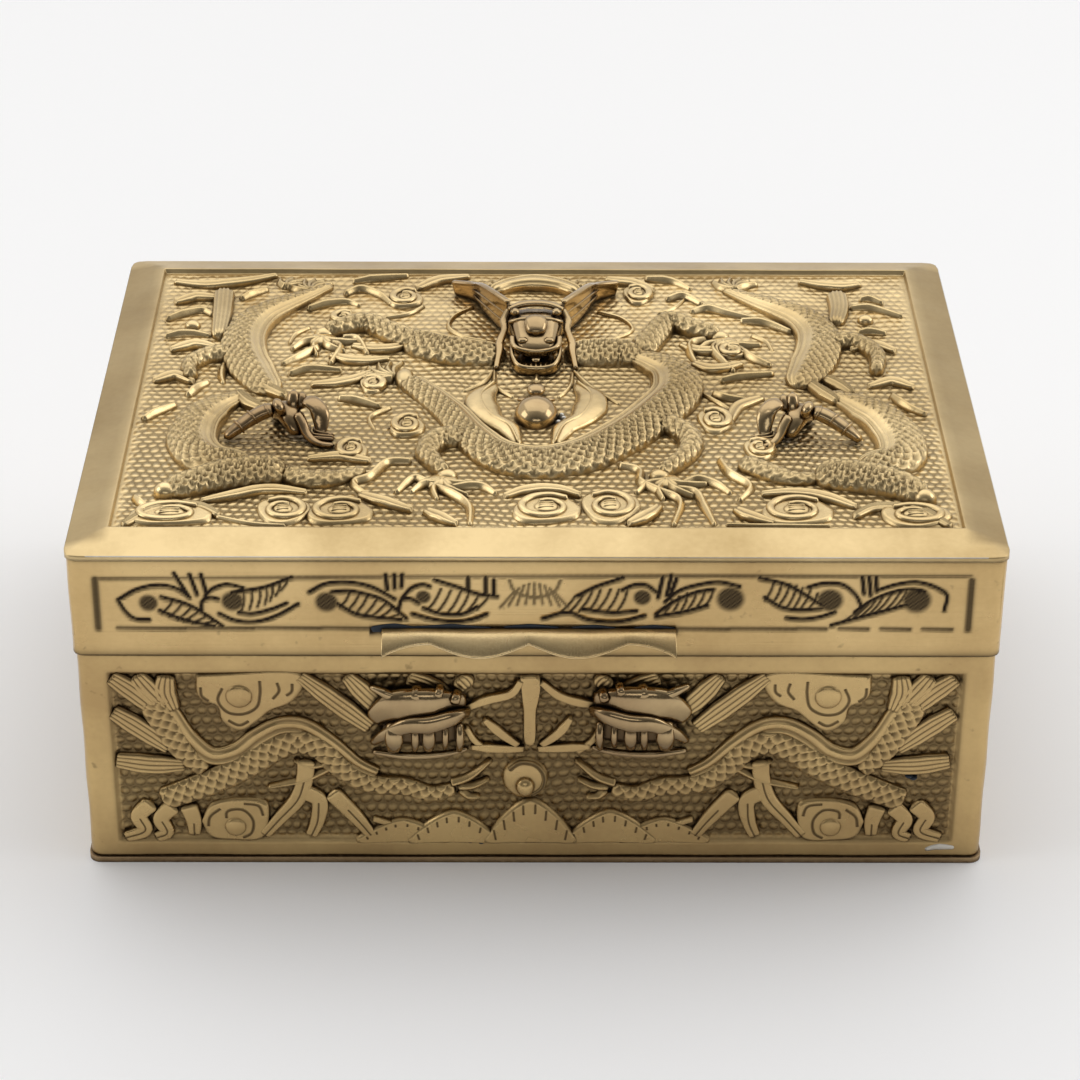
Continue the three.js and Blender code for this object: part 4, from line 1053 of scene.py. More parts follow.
# %% The pearl, leaves, waves and clouds of the front
hanging_cloud = [
    (-61, 41), (-60.8, 36), (-57.4, 34), (-56.6, 30.6), (-53.6, 28.4), (-50.4, 30.4), (-47.6, 33),
    (-43, 35.4), (-41, 41),
]
standing_cloud = [
    (-61.6, 9), (-59.4, 12.8), (-54, 14), (-49, 13), (-48.6, 9), (-50, 5), (-56, 4.6), (-60, 5.4),
]
hanging_lines = [
    [(-56, 38.4), (-57, 35.6), (-55.4, 33), (-52.6, 32.6), (-50.2, 34), (-49.4, 37), (-49.4, 40)],
    [(-60, 38.6), (-59.8, 36.4), (-58.4, 35.2)], [(-46.4, 39.6), (-46, 37.6), (-47.4, 35.6)],
    [(-43.6, 39.4), (-43.8, 37.4), (-45, 36.4)], [(-55.6, 31.4), (-53.4, 30.2), (-51.4, 31.2)],
]
standing_lines = [
    [(-56.6, 9.4), (-56.4, 11.2), (-53.6, 11.6), (-51.8, 9.4), (-52.2, 6.4), (-54, 5.2)],
    [(-60, 7.6), (-59.6, 10), (-57.4, 12)], [(-53.6, 13), (-50.6, 12.4), (-49.8, 10)],
]
PLAQUE = 0.85
WAVE_FOOT = 4.25
waves = [(-1, 9, 9.4), (-15, 9, 6.4), (13.6, 9, 6.6), (-24.4, 9, 4.6), (23.4, 9, 4.8)]


def ink(bm, face, points, width=0.55, base=PLAQUE):
    ribbon(bm, face, points, width, 0.1, inked, 0.35, 6, base=base - 0.03, cap=0.8)


bm = new_mesh()
plateau(bm, on_front, [(-3, 40.9), (-2.4, 32), (-1.8, 25.2), (-0.6, 25.2), (0, 32), (0.4, 40.9)], PLAQUE)
leaves = [
    [(-13.5, 33.4), (-9, 35.5), (-4.4, 37), (-2.6, 40)], [(12, 34.4), (8, 35), (4, 36.5), (0.6, 39.6)],
    [(-9.6, 31.6), (-6, 28), (-3, 25.6)], [(6.4, 32), (4, 28.4), (0.6, 25.6)],
    [(-12, 25.4), (-6, 25), (-2, 25)], [(10, 25.6), (5, 25.2), (0, 25)],
]
for line in leaves:
    ribbon(bm, on_front, line, [1.0, 2.0, 1.8, 1.2], PLAQUE + 0.1, flat, 0.4, 14, cap=0.6)
dome(bm, on_front, (-2, 18.4), 4.4, 4.6, 1.3, power=0.35)
ink(bm, on_front, curl((-2, 18.4), 3.6, 3.8, 0.62, -1, 2.6, 0.96), 0.9, 1.1)
dome(bm, on_front, (-2, 17.2), 1.9, 2.2, 1.8, base=0.9)
for order, (centre, half, height) in enumerate(waves):
    level = PLAQUE + 0.3 - 0.07 * order
    crest = [(centre + k / 4 * half, 4.9 + height * (1 - abs(k / 4) ** 1.5)) for k in range(-4, 5)]
    foot = [(centre + share * half, WAVE_FOOT) for share in (1, 0.5, 0, -0.5, -1)]
    plateau(bm, on_front, [*crest, *foot], level, bevel=0.3)
    for k in (-3, -2.2, -1.4, -0.6, 0.4, 1.3, 2.2, 3):
        place = centre + k / 4 * half
        top = 4.7 + height * (1 - abs(k / 4) ** 1.5)
        ink(bm, on_front, [(place, top - 0.4), (place - 0.15 * k, top - height * 0.34)], 0.6, level)
for turn in (-1, 1):
    plateau(bm, on_front, turned(hanging_cloud, turn), PLAQUE)
    dome(bm, on_front, turned([(-53.2, 36.4)], turn)[0], 2.6, 2.6, 0.7, base=PLAQUE - 0.1)
    for line in hanging_lines:
        ink(bm, on_front, turned(line, turn), 0.8)
    plateau(bm, on_front, turned(standing_cloud, turn), PLAQUE)
    dome(bm, on_front, turned([(-55, 7.8)], turn)[0], 2.1, 2.1, 0.7, base=PLAQUE - 0.1)
    for line in standing_lines:
        ink(bm, on_front, turned(line, turn), 0.8)
    for line in ([(-20, 5), (-25, 7.6), (-30, 9.6)], [(-8, 24), (-11, 26.6), (-13, 30)]):
        ribbon(bm, on_front, turned(line, turn), 1.3, PLAQUE, flat, 0.45, 8, cap=0.6)
keep(bm, "front_clouds_and_waves", wall_relief_brass)

# %% [markdown]
# ## The other three sides
# The photograph doesn't show them. They are finished in the same way but plainer: waves along the foot,
# and cloud scrolls that roll over each other above.

# %% Waves and scrolls for the hidden sides
QUIET_PITCH = 38


def quiet_side(bm, face, panel_width):
    count = max(3, round(panel_width / QUIET_PITCH))
    pitch = panel_width / count
    height = PANEL_HIGH - PANEL_LOW
    middle = PANEL_LOW + height * 0.62
    for k in range(count):
        centre = (k + 0.5) * pitch - panel_width / 2
        turn = 1 if k % 2 == 0 else -1
        for nest in range(3):
            share = 1 - 0.26 * nest
            arc = []
            for i in range(-4, 5):
                arch = height * 0.22 * share * (1 - abs(i / 4) ** 1.6)
                arc.append((centre + i / 4 * pitch * 0.46 * share, PANEL_LOW + 0.3 + arch))
            ribbon(bm, face, arc, 2.0, 1.1, rounded, 0.8, 8, cap=0.6)
        cloud(bm, face, (centre, middle + turn * 3), pitch * 0.2, height * 0.15, turn, height=0.7)
        spiral = curl((centre, middle + turn * 3), pitch * 0.34, height * 0.22, 0.8, turn, 0.6, 0.62)
        ribbon(bm, face, spiral, [1.6, 3, 2.6, 1.4], 1.3, grooved, 0.7, 14)
        tip = pitch * 0.46
        tail = [(centre - tip, middle - turn * 6), (centre, middle - turn * 8.6),
                (centre + tip, middle - turn * 6)]
        ribbon(bm, face, tail, [1.6, 3.8, 3.8, 1.6], 1.3, veined, 0.9, 16, cap=0.6)


bm = new_mesh()
quiet_side(bm, on_back, PANEL_WIDTH)
for face in (on_right, on_left):
    quiet_side(bm, face, END_PANEL_WIDTH)
keep(bm, "side_and_back_scrolls", wall_relief_brass)

# %% [markdown]
# ## The lid's band
# The band is smooth sheet with cloud scrolls cut into it: thin grooves, stippled bulbs and hatched ribs.
# A canvas collects the strokes as depth and darkness, and the band's grid reads it. The front follows the
# real one, and the other sides repeat its scrolls.

# %% Draw the scrolls on a canvas
class Canvas:
    def __init__(self, x, z):
        self.x, self.z = x, z
        self.depth = np.zeros_like(x)
        self.dark = np.zeros_like(x)

    def stroke(self, points, width, depth, dark):
        line = smooth_line(points, 0.25)[0][:, :2]
        low, high = line.min(0) - width * 2, line.max(0) + width * 2
        beside = (self.x > low[0]) & (self.x < high[0])
        near = np.flatnonzero(beside & (self.z > low[1]) & (self.z < high[1]))
        if len(near) == 0:
            return
        distance = np.full(len(near), 99.0)
        for px, pz in line:
            distance = np.minimum(distance, np.hypot(self.x[near] - px, self.z[near] - pz))
        cut = np.clip(1.7 * np.exp(-(distance / (width * 0.7)) ** 2), 0, 1)
        self.depth[near] = np.maximum(self.depth[near], depth * cut)
        self.dark[near] = np.maximum(self.dark[near], dark * cut)

    def bulb(self, at, radius):
        distance = np.hypot(self.x - at[0], self.z - at[1]) / radius
        inside = np.clip(1.3 - distance, 0, 1)
        dots = 0.5 + 0.5 * np.sin(self.x * 7.0) * np.sin(self.z * 7.0 + self.x)
        self.depth = np.maximum(self.depth, 0.2 * np.minimum(inside * 3, 1) * dots)
        self.dark = np.maximum(self.dark, np.clip(inside * 2.4, 0, 1) * (0.78 + 0.22 * dots))

    def hatch(self, lower, upper, count, lean=0.9):
        low_line, high_line = smooth_line(lower, 0.3)[0], smooth_line(upper, 0.3)[0]
        for k in range(1, count):
            a = low_line[round(k / count * (len(low_line) - 1))]
            b = high_line[round(k / count * (len(high_line) - 1))]
            middle = ((a[0] + b[0]) / 2, (a[1] + b[1]) / 2 + 0.1)
            self.stroke([(a[0] - lean, a[1]), middle, (b[0] + lean * 0.4, b[1])], 0.36, 0.2, 0.9)

    def scrolls(self, span):
        """All of the scroll work that lies within `span` of the middle."""
        for line in BAND_STROKES:
            if max(abs(x) for x, z in line) < span:
                self.stroke(line, 0.5, 0.3, 1.0)
        for at, radius in BAND_BULBS:
            if abs(at[0]) < span:
                self.bulb(at, radius)
        for lower, upper, count in BAND_RIBS:
            if max(abs(lower[0][0]), abs(lower[-1][0])) < span:
                self.hatch(lower, upper, count)


print("canvas ready")

# %% The drawn lines of the scroll band
BAND_STROKES = [
    [(-73.6, 56.8), (-70, 59), (-66, 59.8), (-63, 59), (-61, 57.3)],
    [(-73.5, 56.5), (-72.5, 54.5), (-71, 53), (-68.3, 52.7)],
    [(-58.3, 57.5), (-57, 59), (-54.5, 60), (-51.5, 59.3)],
    [(-59, 54.5), (-58.8, 56.5), (-57.5, 57.3), (-56, 57)],
    [(-52.5, 54.2), (-50, 54), (-46.5, 55), (-44, 56.2)],
    [(-56, 54), (-53, 52.5), (-49.5, 52.3), (-46, 53.5), (-42, 56)],
    [(-40, 58.5), (-37, 60.2), (-33, 60.5), (-29, 59.5), (-25, 57)],
    [(-36, 58.5), (-33, 58.7), (-30, 58), (-27, 56.8), (-23, 53)],
    [(-35, 56), (-32, 54), (-28, 53.2), (-24, 52.8)],
    [(-23.6, 57.3), (-22, 59.3), (-20, 60), (-18.8, 59.6)],
    [(-24.3, 55), (-23.8, 56.8), (-22.4, 57.1), (-20.8, 56.2)],
    [(-20, 55.2), (-17, 54), (-13, 54), (-10.5, 55.5)], [(-18, 61), (-14.5, 59.7), (-10, 58), (-7, 57.6)],
    [(-22, 54), (-18, 52.8), (-14, 52.4), (-11, 53), (-8.8, 54)], [(8, 55), (13, 54.3), (17.5, 54.6)],
    [(1, 53), (5.5, 54.3), (9, 52.8), (14, 52.3), (19, 53.7)], [(7, 57.7), (10, 59.5), (15, 61.5)],
    [(15, 59), (17, 60), (19, 60), (21, 58.5)],
    [(22.5, 56.5), (25, 58.8), (29, 60.2), (32, 60.6), (35.5, 59.7)],
    [(21, 54), (24, 56.5), (28, 58.5), (31, 59.1)], [(21, 53.5), (26, 54.5), (30, 55.8)],
    [(40, 57.5), (43, 55.5), (46, 54.9), (50, 55.2)], [(39, 61.5), (44, 60), (50, 56)],
    [(44, 53.3), (47, 53), (50, 53.5), (52.5, 54.5)],
    [(47.5, 59.6), (50, 60.4), (53.5, 60.2), (56, 58), (57, 56)],
    [(56, 54.5), (59, 57), (63, 58.8), (66, 59.2), (68, 58.8)],
    [(59.7, 59), (63, 60.2), (66.5, 60.7), (70, 59.6), (72, 58), (71.8, 55)],
    [(-53.5, 58.4), (-48, 59.4), (-43, 61.5)], [(52, 51.7), (57, 53.4), (62, 55), (65, 56)],
    [(-66.4, 54.6), (-62, 52.6), (-57, 51.4)], [(-66, 57.4), (-61, 55.6), (-55.5, 51.4)],
]
BAND_TICKS = [
    [(-63.5, 62.2), (-61.2, 57.5)], [(-60.8, 62), (-59.7, 58)], [(-58.8, 62), (-58, 58)],
    [(-26.5, 62), (-26.3, 59)], [(-25, 62), (-25, 59.4)], [(-23.6, 62), (-23.8, 59.6)],
    [(-12.1, 61.5), (-12.1, 58.6)], [(-9, 61.5), (-9, 58.4)], [(-7.6, 61), (-7.6, 58.2)],
    [(22, 61.5), (21.3, 57.5)], [(23.5, 62), (22.8, 57.8)], [(24.4, 61.2), (23.4, 57.7)],
    [(57, 61.6), (57.4, 58.4)], [(58.2, 61.6), (58.6, 58)], [(59.4, 61.6), (59.6, 58.8)],
]
BAND_BULBS = [
    ((-68.3, 56.2), 1.5), ((-53.5, 56.6), 1.8), ((-37, 56.5), 1.8), ((-20, 57.5), 1.2), ((18.5, 57.5), 1.4),
    ((34, 57.2), 2.2), ((51.5, 57), 2.1), ((66.8, 57), 2.3),
]
BAND_RIBS = [
    ([(-66.4, 54.6), (-62, 52.6), (-57, 51.4)], [(-66, 57.4), (-61, 55.6), (-55.5, 51.4)], 7),
    ([(-52.5, 54.2), (-47, 56), (-43, 60)], [(-53, 58.4), (-48, 59.4), (-43, 61.5)], 8),
    ([(-35, 56), (-30, 53.6), (-24, 52.8)], [(-35, 58.6), (-30, 58), (-23, 53)], 8),
    ([(-20, 55.2), (-14, 54), (-8, 55.5)], [(-19, 59.2), (-13, 58.6), (-7, 57.6)], 7),
    ([(3, 53.6), (9, 54.6), (17, 54.8)], [(5, 57.4), (11, 59), (17, 59)], 8),
    ([(22, 54), (27, 55), (32, 56)], [(22, 56.4), (27, 58.6), (32, 59.1)], 7),
    ([(40, 57.5), (45, 55.4), (50, 55.2)], [(40, 61.2), (45, 60), (50, 58)], 8),
    ([(54, 52.4), (59, 54), (65, 55.4)], [(56, 54.8), (60, 57.6), (66, 59)], 8),
]
print(len(BAND_STROKES), "scroll lines")

# %% Engrave a side
BAND_ENDS = (-77, 76)
LINE_BREAKS_FROM = 34
FRAME_LOW, FRAME_HIGH = 51, 61.6
SUN = (-0.5, 61)


def engrave_front(canvas):
    """The front has the scrolls, short ticks, a sunburst in the middle and a worn lower line."""
    low, high = BAND_ENDS
    canvas.scrolls(high)
    for line in BAND_TICKS:
        canvas.stroke(line, 0.55, 0.3, 1.0)
    canvas.stroke([(low, 61.2), ((low + high) / 2, 61.8), (high, 62)], 0.4, 0.2, 0.7)
    place = low + 3
    while place < high - 3:
        length, gap = (5.2, 2.2) if place > LINE_BREAKS_FROM else (12, 0)
        canvas.stroke([(place, 51.1), (min(place + length, high - 2), 51.0)], 0.45, 0.2, 0.8)
        place += length + gap
    for side in (low - 0.4, high + 0.2):
        canvas.stroke([(side, FRAME_LOW), (side, 61)], 0.8, 0.22, 0.85)
    for k in range(-4, 5):
        ray = [(SUN[0] + k * 0.9, 60.4 - 0.12 * k * k), (SUN[0] + k * 1.5, 56.2 - 0.05 * k * k)]
        canvas.stroke(ray, 0.35, 0.18, 0.7)
    canvas.stroke(curl(SUN, 4.6, 3.6, 0.5, -1, 0.0, 0.95), 0.4, 0.2, 0.7)


def engrave_quiet(canvas, span):
    canvas.scrolls(span)
    for z, middle in ((FRAME_HIGH, FRAME_HIGH + 0.2), (FRAME_LOW, FRAME_LOW)):
        canvas.stroke([(-span, z), (0, middle), (span, z)], 0.4, 0.2, 0.7)
    for end in (-span, span):
        canvas.stroke([(end, FRAME_LOW), (end, FRAME_HIGH)], 0.8, 0.22, 0.85)


print("the lower line breaks up from", LINE_BREAKS_FROM, "mm")


# %% The band sheet
# The sides count from the middle of the back: back half, left end, front, right end, back half.
QUIET_SPANS = {0: 76.0, 1: 53.0, 3: 53.0, 4: 76.0}
FRONT_SIDE = 2
LIP_SHADE_LEVEL, LIP_SHADE_LEFT, LIP_SHADE_RIGHT = 50.6, -29.5, 25


def band_detail(side, across, z):
    depth, lines = np.zeros_like(z), np.zeros_like(z)
    for number in range(5):
        canvas = Canvas(np.where(side == number, across, 999.0), z)
        if number == FRONT_SIDE:
            engrave_front(canvas)
        else:
            engrave_quiet(canvas, QUIET_SPANS[number])
        depth = np.maximum(depth, canvas.depth)
        lines = np.maximum(lines, canvas.dark)
    # Under the thumb lip the band is painted dark: painted shade of the lip.
    under_lip = (side == FRONT_SIDE) * (across > LIP_SHADE_LEFT) * (across < LIP_SHADE_RIGHT)
    lip_shade = np.exp(-((z - LIP_SHADE_LEVEL) / 0.9) ** 2) * under_lip
    lip_shade *= 0.7 + 0.5 * np.clip(-across / 20, 0, 1) + 0.2 * np.sin(across * 2.3)
    seam_dark = np.exp(-(z - SEAM) / 0.7) * 0.8 + np.exp(-(RIM_BOTTOM - z) / 0.4) * 0.6
    dent = 0.07 * np.sin(across * 0.13 + 1) * np.sin(z * 0.35)
    dark = np.clip(np.maximum(np.maximum(lines, lip_shade), seam_dark), 0, 1)
    return dent - 0.07 - depth, np.stack([across, z, 0 * z], 1), dark


BAND_ROWS, BAND_FRONT_STEP, BAND_QUIET_STEP = 55, 0.31, 0.62
band_rows = np.linspace(SEAM, RIM_BOTTOM, BAND_ROWS)
bm = new_mesh()
sheet_ring(bm, LID_WIDTH, LID_DEPTH, BAND_FRONT_STEP, BAND_QUIET_STEP, band_rows, band_detail)
keep(bm, "lid_band_sheet", band_brass, replaces=("lid_band",), solid=True)

# %% [markdown]
# ## The thumb lip
# A strip of thick sheet, soldered to the band and bent out and down. Its edge has two lobes between
# scallops, and it is bright where thumbs have rubbed it.

# %% The lip
lip_low, lip_high = node_box("thumb_lip")
LIP_THICKNESS = 1.0
LIP_REACH = 4.6
LIP_ATTACH = SEAM + 5.6
lip_centre = (lip_low[0] + lip_high[0]) / 2
lip_half = (lip_high[0] - lip_low[0]) / 2


def lip_place(u, v):
    share = u * 2 - 1
    ring = v * 2 * math.pi
    outward = 0.5 - 0.5 * np.cos(ring)
    thick = np.sign(np.sin(ring)) * np.abs(np.sin(ring)) ** 0.35
    inner = np.abs(np.cos(np.abs(share) * math.pi * 1.5 - math.pi / 2))
    outer = 1 - np.clip(np.sin((1 - np.abs(share)) * math.pi * 1.5), 0, 1) ** 0.8
    lobe = np.where(np.abs(share) < 2 / 3, inner, outer)
    reach = outward * LIP_REACH * (0.6 + 0.4 * lobe)
    drop = 0.7 * reach * (reach / LIP_REACH) ** 0.5
    marks = 0.03 * np.sin(share * 260) * outward
    taper = 1 - 0.5 * outward ** 8
    y = -LID_DEPTH / 2 - reach
    z = LIP_ATTACH - drop + thick * LIP_THICKNESS / 2 * taper + marks
    dark = np.clip(0.9 - outward * 3.2, 0, 0.8) * (thick > 0)
    aside = share * lip_half
    return np.stack([lip_centre + aside, y, z], 1), np.stack([aside, reach, 0 * z], 1), dark


lip_brass = brass("lip_brass", (0.84, 0.64, 0.34), (0.7, 0.5, 0.24), (0.06, 0.045, 0.03), 0.24)
bm = new_mesh()
made = surface(bm, 260, 36, lip_place)
bmesh.ops.remove_doubles(bm, verts=made, dist=2e-6)
bmesh.ops.holes_fill(bm, edges=bm.edges, sides=0)
keep(bm, "thumb_lip_strip", lip_brass, replaces=("thumb_lip",), solid=True)

# %% [markdown]
# ## The heads
# The heads stand free of the sheet: small bars, horns and thin ears that were cast or folded and then
# soldered on. They are built from closed tubes with boxy or round sections, with the chin towards -Y.

# %% The centre head
HEAD_HEIGHT = 8.4
EAR_LEAN = 0.12


def both_sides(points):
    return points, mirrored(points)


tall = HEAD_HEIGHT
bm = new_mesh()
skull = [(0, 26.6, 0.2), (0, 22, tall * 0.42), (0, 17, tall * 0.46), (0, 12.4, tall * 0.36),
         (0, 11, tall * 0.2)]
skull_heights = [tall * 0.4, tall * 0.72, tall * 0.68, tall * 0.5, tall * 0.3]
tube(bm, on_lid, skull, [8, 10.6, 9.6, 8, 6.4], skull_heights, 20, 3.2)
crown = [(-5.6, 21.8, tall * 0.8), (-2.4, 22.6, tall * 0.9), (2.4, 22.6, tall * 0.9),
         (5.6, 21.8, tall * 0.8)]
tube(bm, on_lid, crown, 1.5, 1.1, 12, 4.0)
brow = [(-5.4, 19.6, tall * 0.6), (-3, 18.6, tall * 0.74), (3, 18.6, tall * 0.74), (5.4, 19.6, tall * 0.6)]
tube(bm, on_lid, brow, 1.2, 1.0, 12, 3.0)
snout = [(0, 19, tall * 0.76), (0, 16.4, tall * 0.84), (0, 13.2, tall * 0.66)]
tube(bm, on_lid, snout, [3.0, 4.6, 3.4], [1.6, 2.2, 1.8], 16, 2.2)
for line in both_sides([(1.6, 13.2, tall * 0.58), (2.6, 12.4, tall * 0.56), (3.4, 13.4, tall * 0.56)]):
    tube(bm, on_lid, line, 1.3, 1.2, 12, 2.0)
for line in both_sides([(3.2, 20.6, tall * 0.82), (4, 20.2, tall * 0.84), (4.6, 20.8, tall * 0.8)]):
    tube(bm, on_lid, line, 1.9, 1.6, 14, 2.0)
jaw = [
    (-4.6, 16, 2.6), (-4.4, 10.4, 1.6), (-3.2, 8.0, 1.1), (0, 7.2, 1.0), (3.2, 8.0, 1.1), (4.4, 10.4, 1.6),
    (4.6, 16, 2.6),
]
tube(bm, on_lid, jaw, 0.9, [3, 2.6, 2.2, 2.0, 2.2, 2.6, 3], 14, 3.0, spacing=0.4)
# A dark slab fills the floor of the open mouth: painted shade.
tube(bm, on_lid, [(0, 15.4, 0.7), (0, 8.2, 0.7)], 7.2, 1.0, 14, 4.0, dark=0.5)
for k in range(-3, 4):
    tube(bm, on_lid, [(k * 0.95, 8.2, 1.2), (k * 0.9, 10.2, 1.35)], 0.5, 0.5, 8)
tube(bm, on_lid, [(0, 13.6, 1.6), (0, 11.6, 2.0), (0, 9.4, 1.5)], [1.6, 2.2, 1.2], 1.0, 12)
upper_lip = [
    (-4.6, 15.6, tall * 0.5), (-4, 12, tall * 0.44), (0, 10.6, tall * 0.4), (4, 12, tall * 0.44),
    (4.6, 15.6, tall * 0.5),
]
tube(bm, on_lid, upper_lip, 1.0, 1.0, 12, 3.0, spacing=0.4)
for x, y in ((-3.4, 11.8), (-1.2, 11), (1.2, 11), (3.4, 11.8)):
    tube(bm, on_lid, [(x, y, tall * 0.4), (x * 1.02, y - 0.2, tall * 0.25)], [1.0, 0.5], [1.0, 0.5], 10)
for side in (-1, 1):
    strut = [(side * 5.0, 22.6, tall * 0.8), (side * 6.2, 20.6, tall * 0.56),
             (side * 6.0, 18.8, tall * 0.5), (side * 7.0, 15.6, tall * 0.3),
             (side * 7.0, 13.6, tall * 0.24), (side * 7.7, 9, 0.3)]
    tube(bm, on_lid, strut, [1.2, 1.7, 1.2, 1.7, 1.2, 1.0], [1.4, 1.6, 1.2, 1.6, 1.2, 1.0], 12, 3.0,
         spacing=0.4)
    ear = [(side * 4.2, 22.6), (side * 7, 27.4), (side * 9.8, 33.6), (side * 11.8, 39), (side * 16.4, 42.6)]
    tops = [tall * 0.98, tall * 0.94, tall * 0.78, tall * 0.5, tall * 0.34]
    tube(bm, on_lid, [(x, y, top / 2) for (x, y), top in zip(ear, tops)], 0.9, tops, 24, 5.0,
         lean=side * EAR_LEAN, spacing=0.5)
    rolled_edge = [(x + side * EAR_LEAN * top, y, top - 0.25) for (x, y), top in zip(ear, tops)]
    tube(bm, on_lid, rolled_edge, 1.3, 0.7, 12, 2.2, spacing=0.5)
    for share in (0.35, 0.62):
        vein = [(x + side * (0.45 + EAR_LEAN * top * share), y, top * share)
                for (x, y), top in zip(ear[:4], tops)]
        tube(bm, on_lid, vein, 0.5, 0.5, 8, spacing=0.6)
for x, y in ((-2.6, 24.8), (2.8, 25.2)):
    tube(bm, on_lid, [(x, y - 1.2, tall * 0.62), (x, y + 1.2, tall * 0.58)], 2.6, 1.4, 12, 6.0)
keep(bm, "centre_dragon_head", shaded_head_brass, replaces=("dragon_head_centre",), solid=True)

# %% The side heads
SIDE_HEAD_HEIGHT = 7.4
tall = SIDE_HEAD_HEIGHT
for side, (cx, cy), node, name in ((-1, (-46.6, -13.4), "dragon_head_left", "left_dragon_head"),
                                   (1, (49, -14), "dragon_head_right", "right_dragon_head")):
    def placed(points):
        return [(cx - side * x, cy + y, *z) for x, y, *z in points]
    bm = new_mesh()
    skull = [(-1.4, 3.6, 0.2), (-0.2, 0.6, tall * 0.42), (1.4, -2, tall * 0.4), (3, -4.6, 0.6)]
    tube(bm, on_lid, placed(skull), [3, 4.4, 4.4, 3], [tall * 0.3, tall * 0.5, tall * 0.46, 1.4], 18, 2.4)
    horn = [(-10.9, -5.8, 0.6), (-8.4, -4.6, tall * 0.3), (-6, -3.2, tall * 0.46), (-3.6, -2.4, tall * 0.6),
            (-1.6, -2.2, tall * 0.66)]
    tube(bm, on_lid, placed(horn), [1.7, 2.5, 2.9, 3.2, 3.0], [1.4, 2.0, 2.4, 2.6, 2.4], 16, 2.3)
    dx = 0.5
    for x, y, z, dy in ((-8.0, -4.4, tall * 0.34, 0.3), (-5.6, -3.0, tall * 0.5, 0.3),
                        (-2.6, -2.3, tall * 0.64, 0.1)):
        ring = [(x - dx, y - dy, z - 0.2), (x + dx * 0.2, y + dy * 0.2, z + 0.15)]
        gap = [(x + dx * 0.4, y + dy, z - 0.2), (x + dx * 1.5, y + dy * 1.4, z + 0.1)]
        tube(bm, on_lid, placed(ring), 3.4, 3.0, 16, pointed=0.93)
        # Dark bars sit in the gaps between the horn's rings: painted shade.
        tube(bm, on_lid, placed(gap), 2.3, 1.9, 12, dark=0.7)
    tube(bm, on_lid, placed([(-1.9, -2.4, tall * 0.66), (0.1, -1.8, tall * 0.76)]), 3.9, 3.5, 20, 2.0,
         spacing=0.25)
    tube(bm, on_lid, placed([(1.5, -0.6, tall * 0.4), (1.6, 0.2, tall * 0.72), (1.7, 1.2, tall * 0.98)]),
         [2.8, 2.6, 1.6], [2.6, 2.4, 1.5], 16, 2.2)
    tube(bm, on_lid, placed([(2.9, -0.4, tall * 0.5), (3.2, 0.6, tall * 0.78), (3.4, 1.4, tall * 0.9)]),
         [2.0, 2.0, 1.2], [2, 1.8, 1], 14, 2.2)
    brow = [(3.4, -0.4, tall * 0.76), (5, -1, tall * 0.78), (6.4, -2, tall * 0.64),
            (6.9, -3.4, tall * 0.34), (6.8, -4.6, 0.6)]
    tube(bm, on_lid, placed(brow), [3.2, 3.8, 3.6, 2.8, 1.6], [1.4, 1.3, 1.2, 1.0, 0.8], 18, 3.0,
         spacing=0.4)
    whisker = [(2.4, -2.6, tall * 0.6), (3.4, -4, tall * 0.42), (4.4, -5.6, tall * 0.2), (6.4, -7.4, 0.6),
               (9.6, -8, 0.4)]
    tube(bm, on_lid, placed(whisker), [2.2, 1.9, 1.6, 1.3, 1.0], [1.8, 1.6, 1.4, 1.1, 0.8], 14, 2.6)
    for size in (0.0, 0.9, 1.8):
        cheek = [(3.8 + size, -2.2, 1.1), (4.2 + size, -5.8 + size * 0.9, 1.0), (9.4, -6.4 + size, 0.7)]
        tube(bm, on_lid, placed(cheek), 0.55, [1.6, 1.3, 0.9], 8, 3.0, spacing=0.4)
    for x, y, z in ((5.6, -3.4, 1.8), (7.2, -3.6, 1.4), (8.4, -4.2, 1.1)):
        tube(bm, on_lid, placed([(x, y, z), (x + 0.2, y - 1.0, z * 0.5)]), [1.1, 0.5], [1.1, 0.5], 8)
    keep(bm, name, shaded_head_brass, replaces=(node,), solid=True)

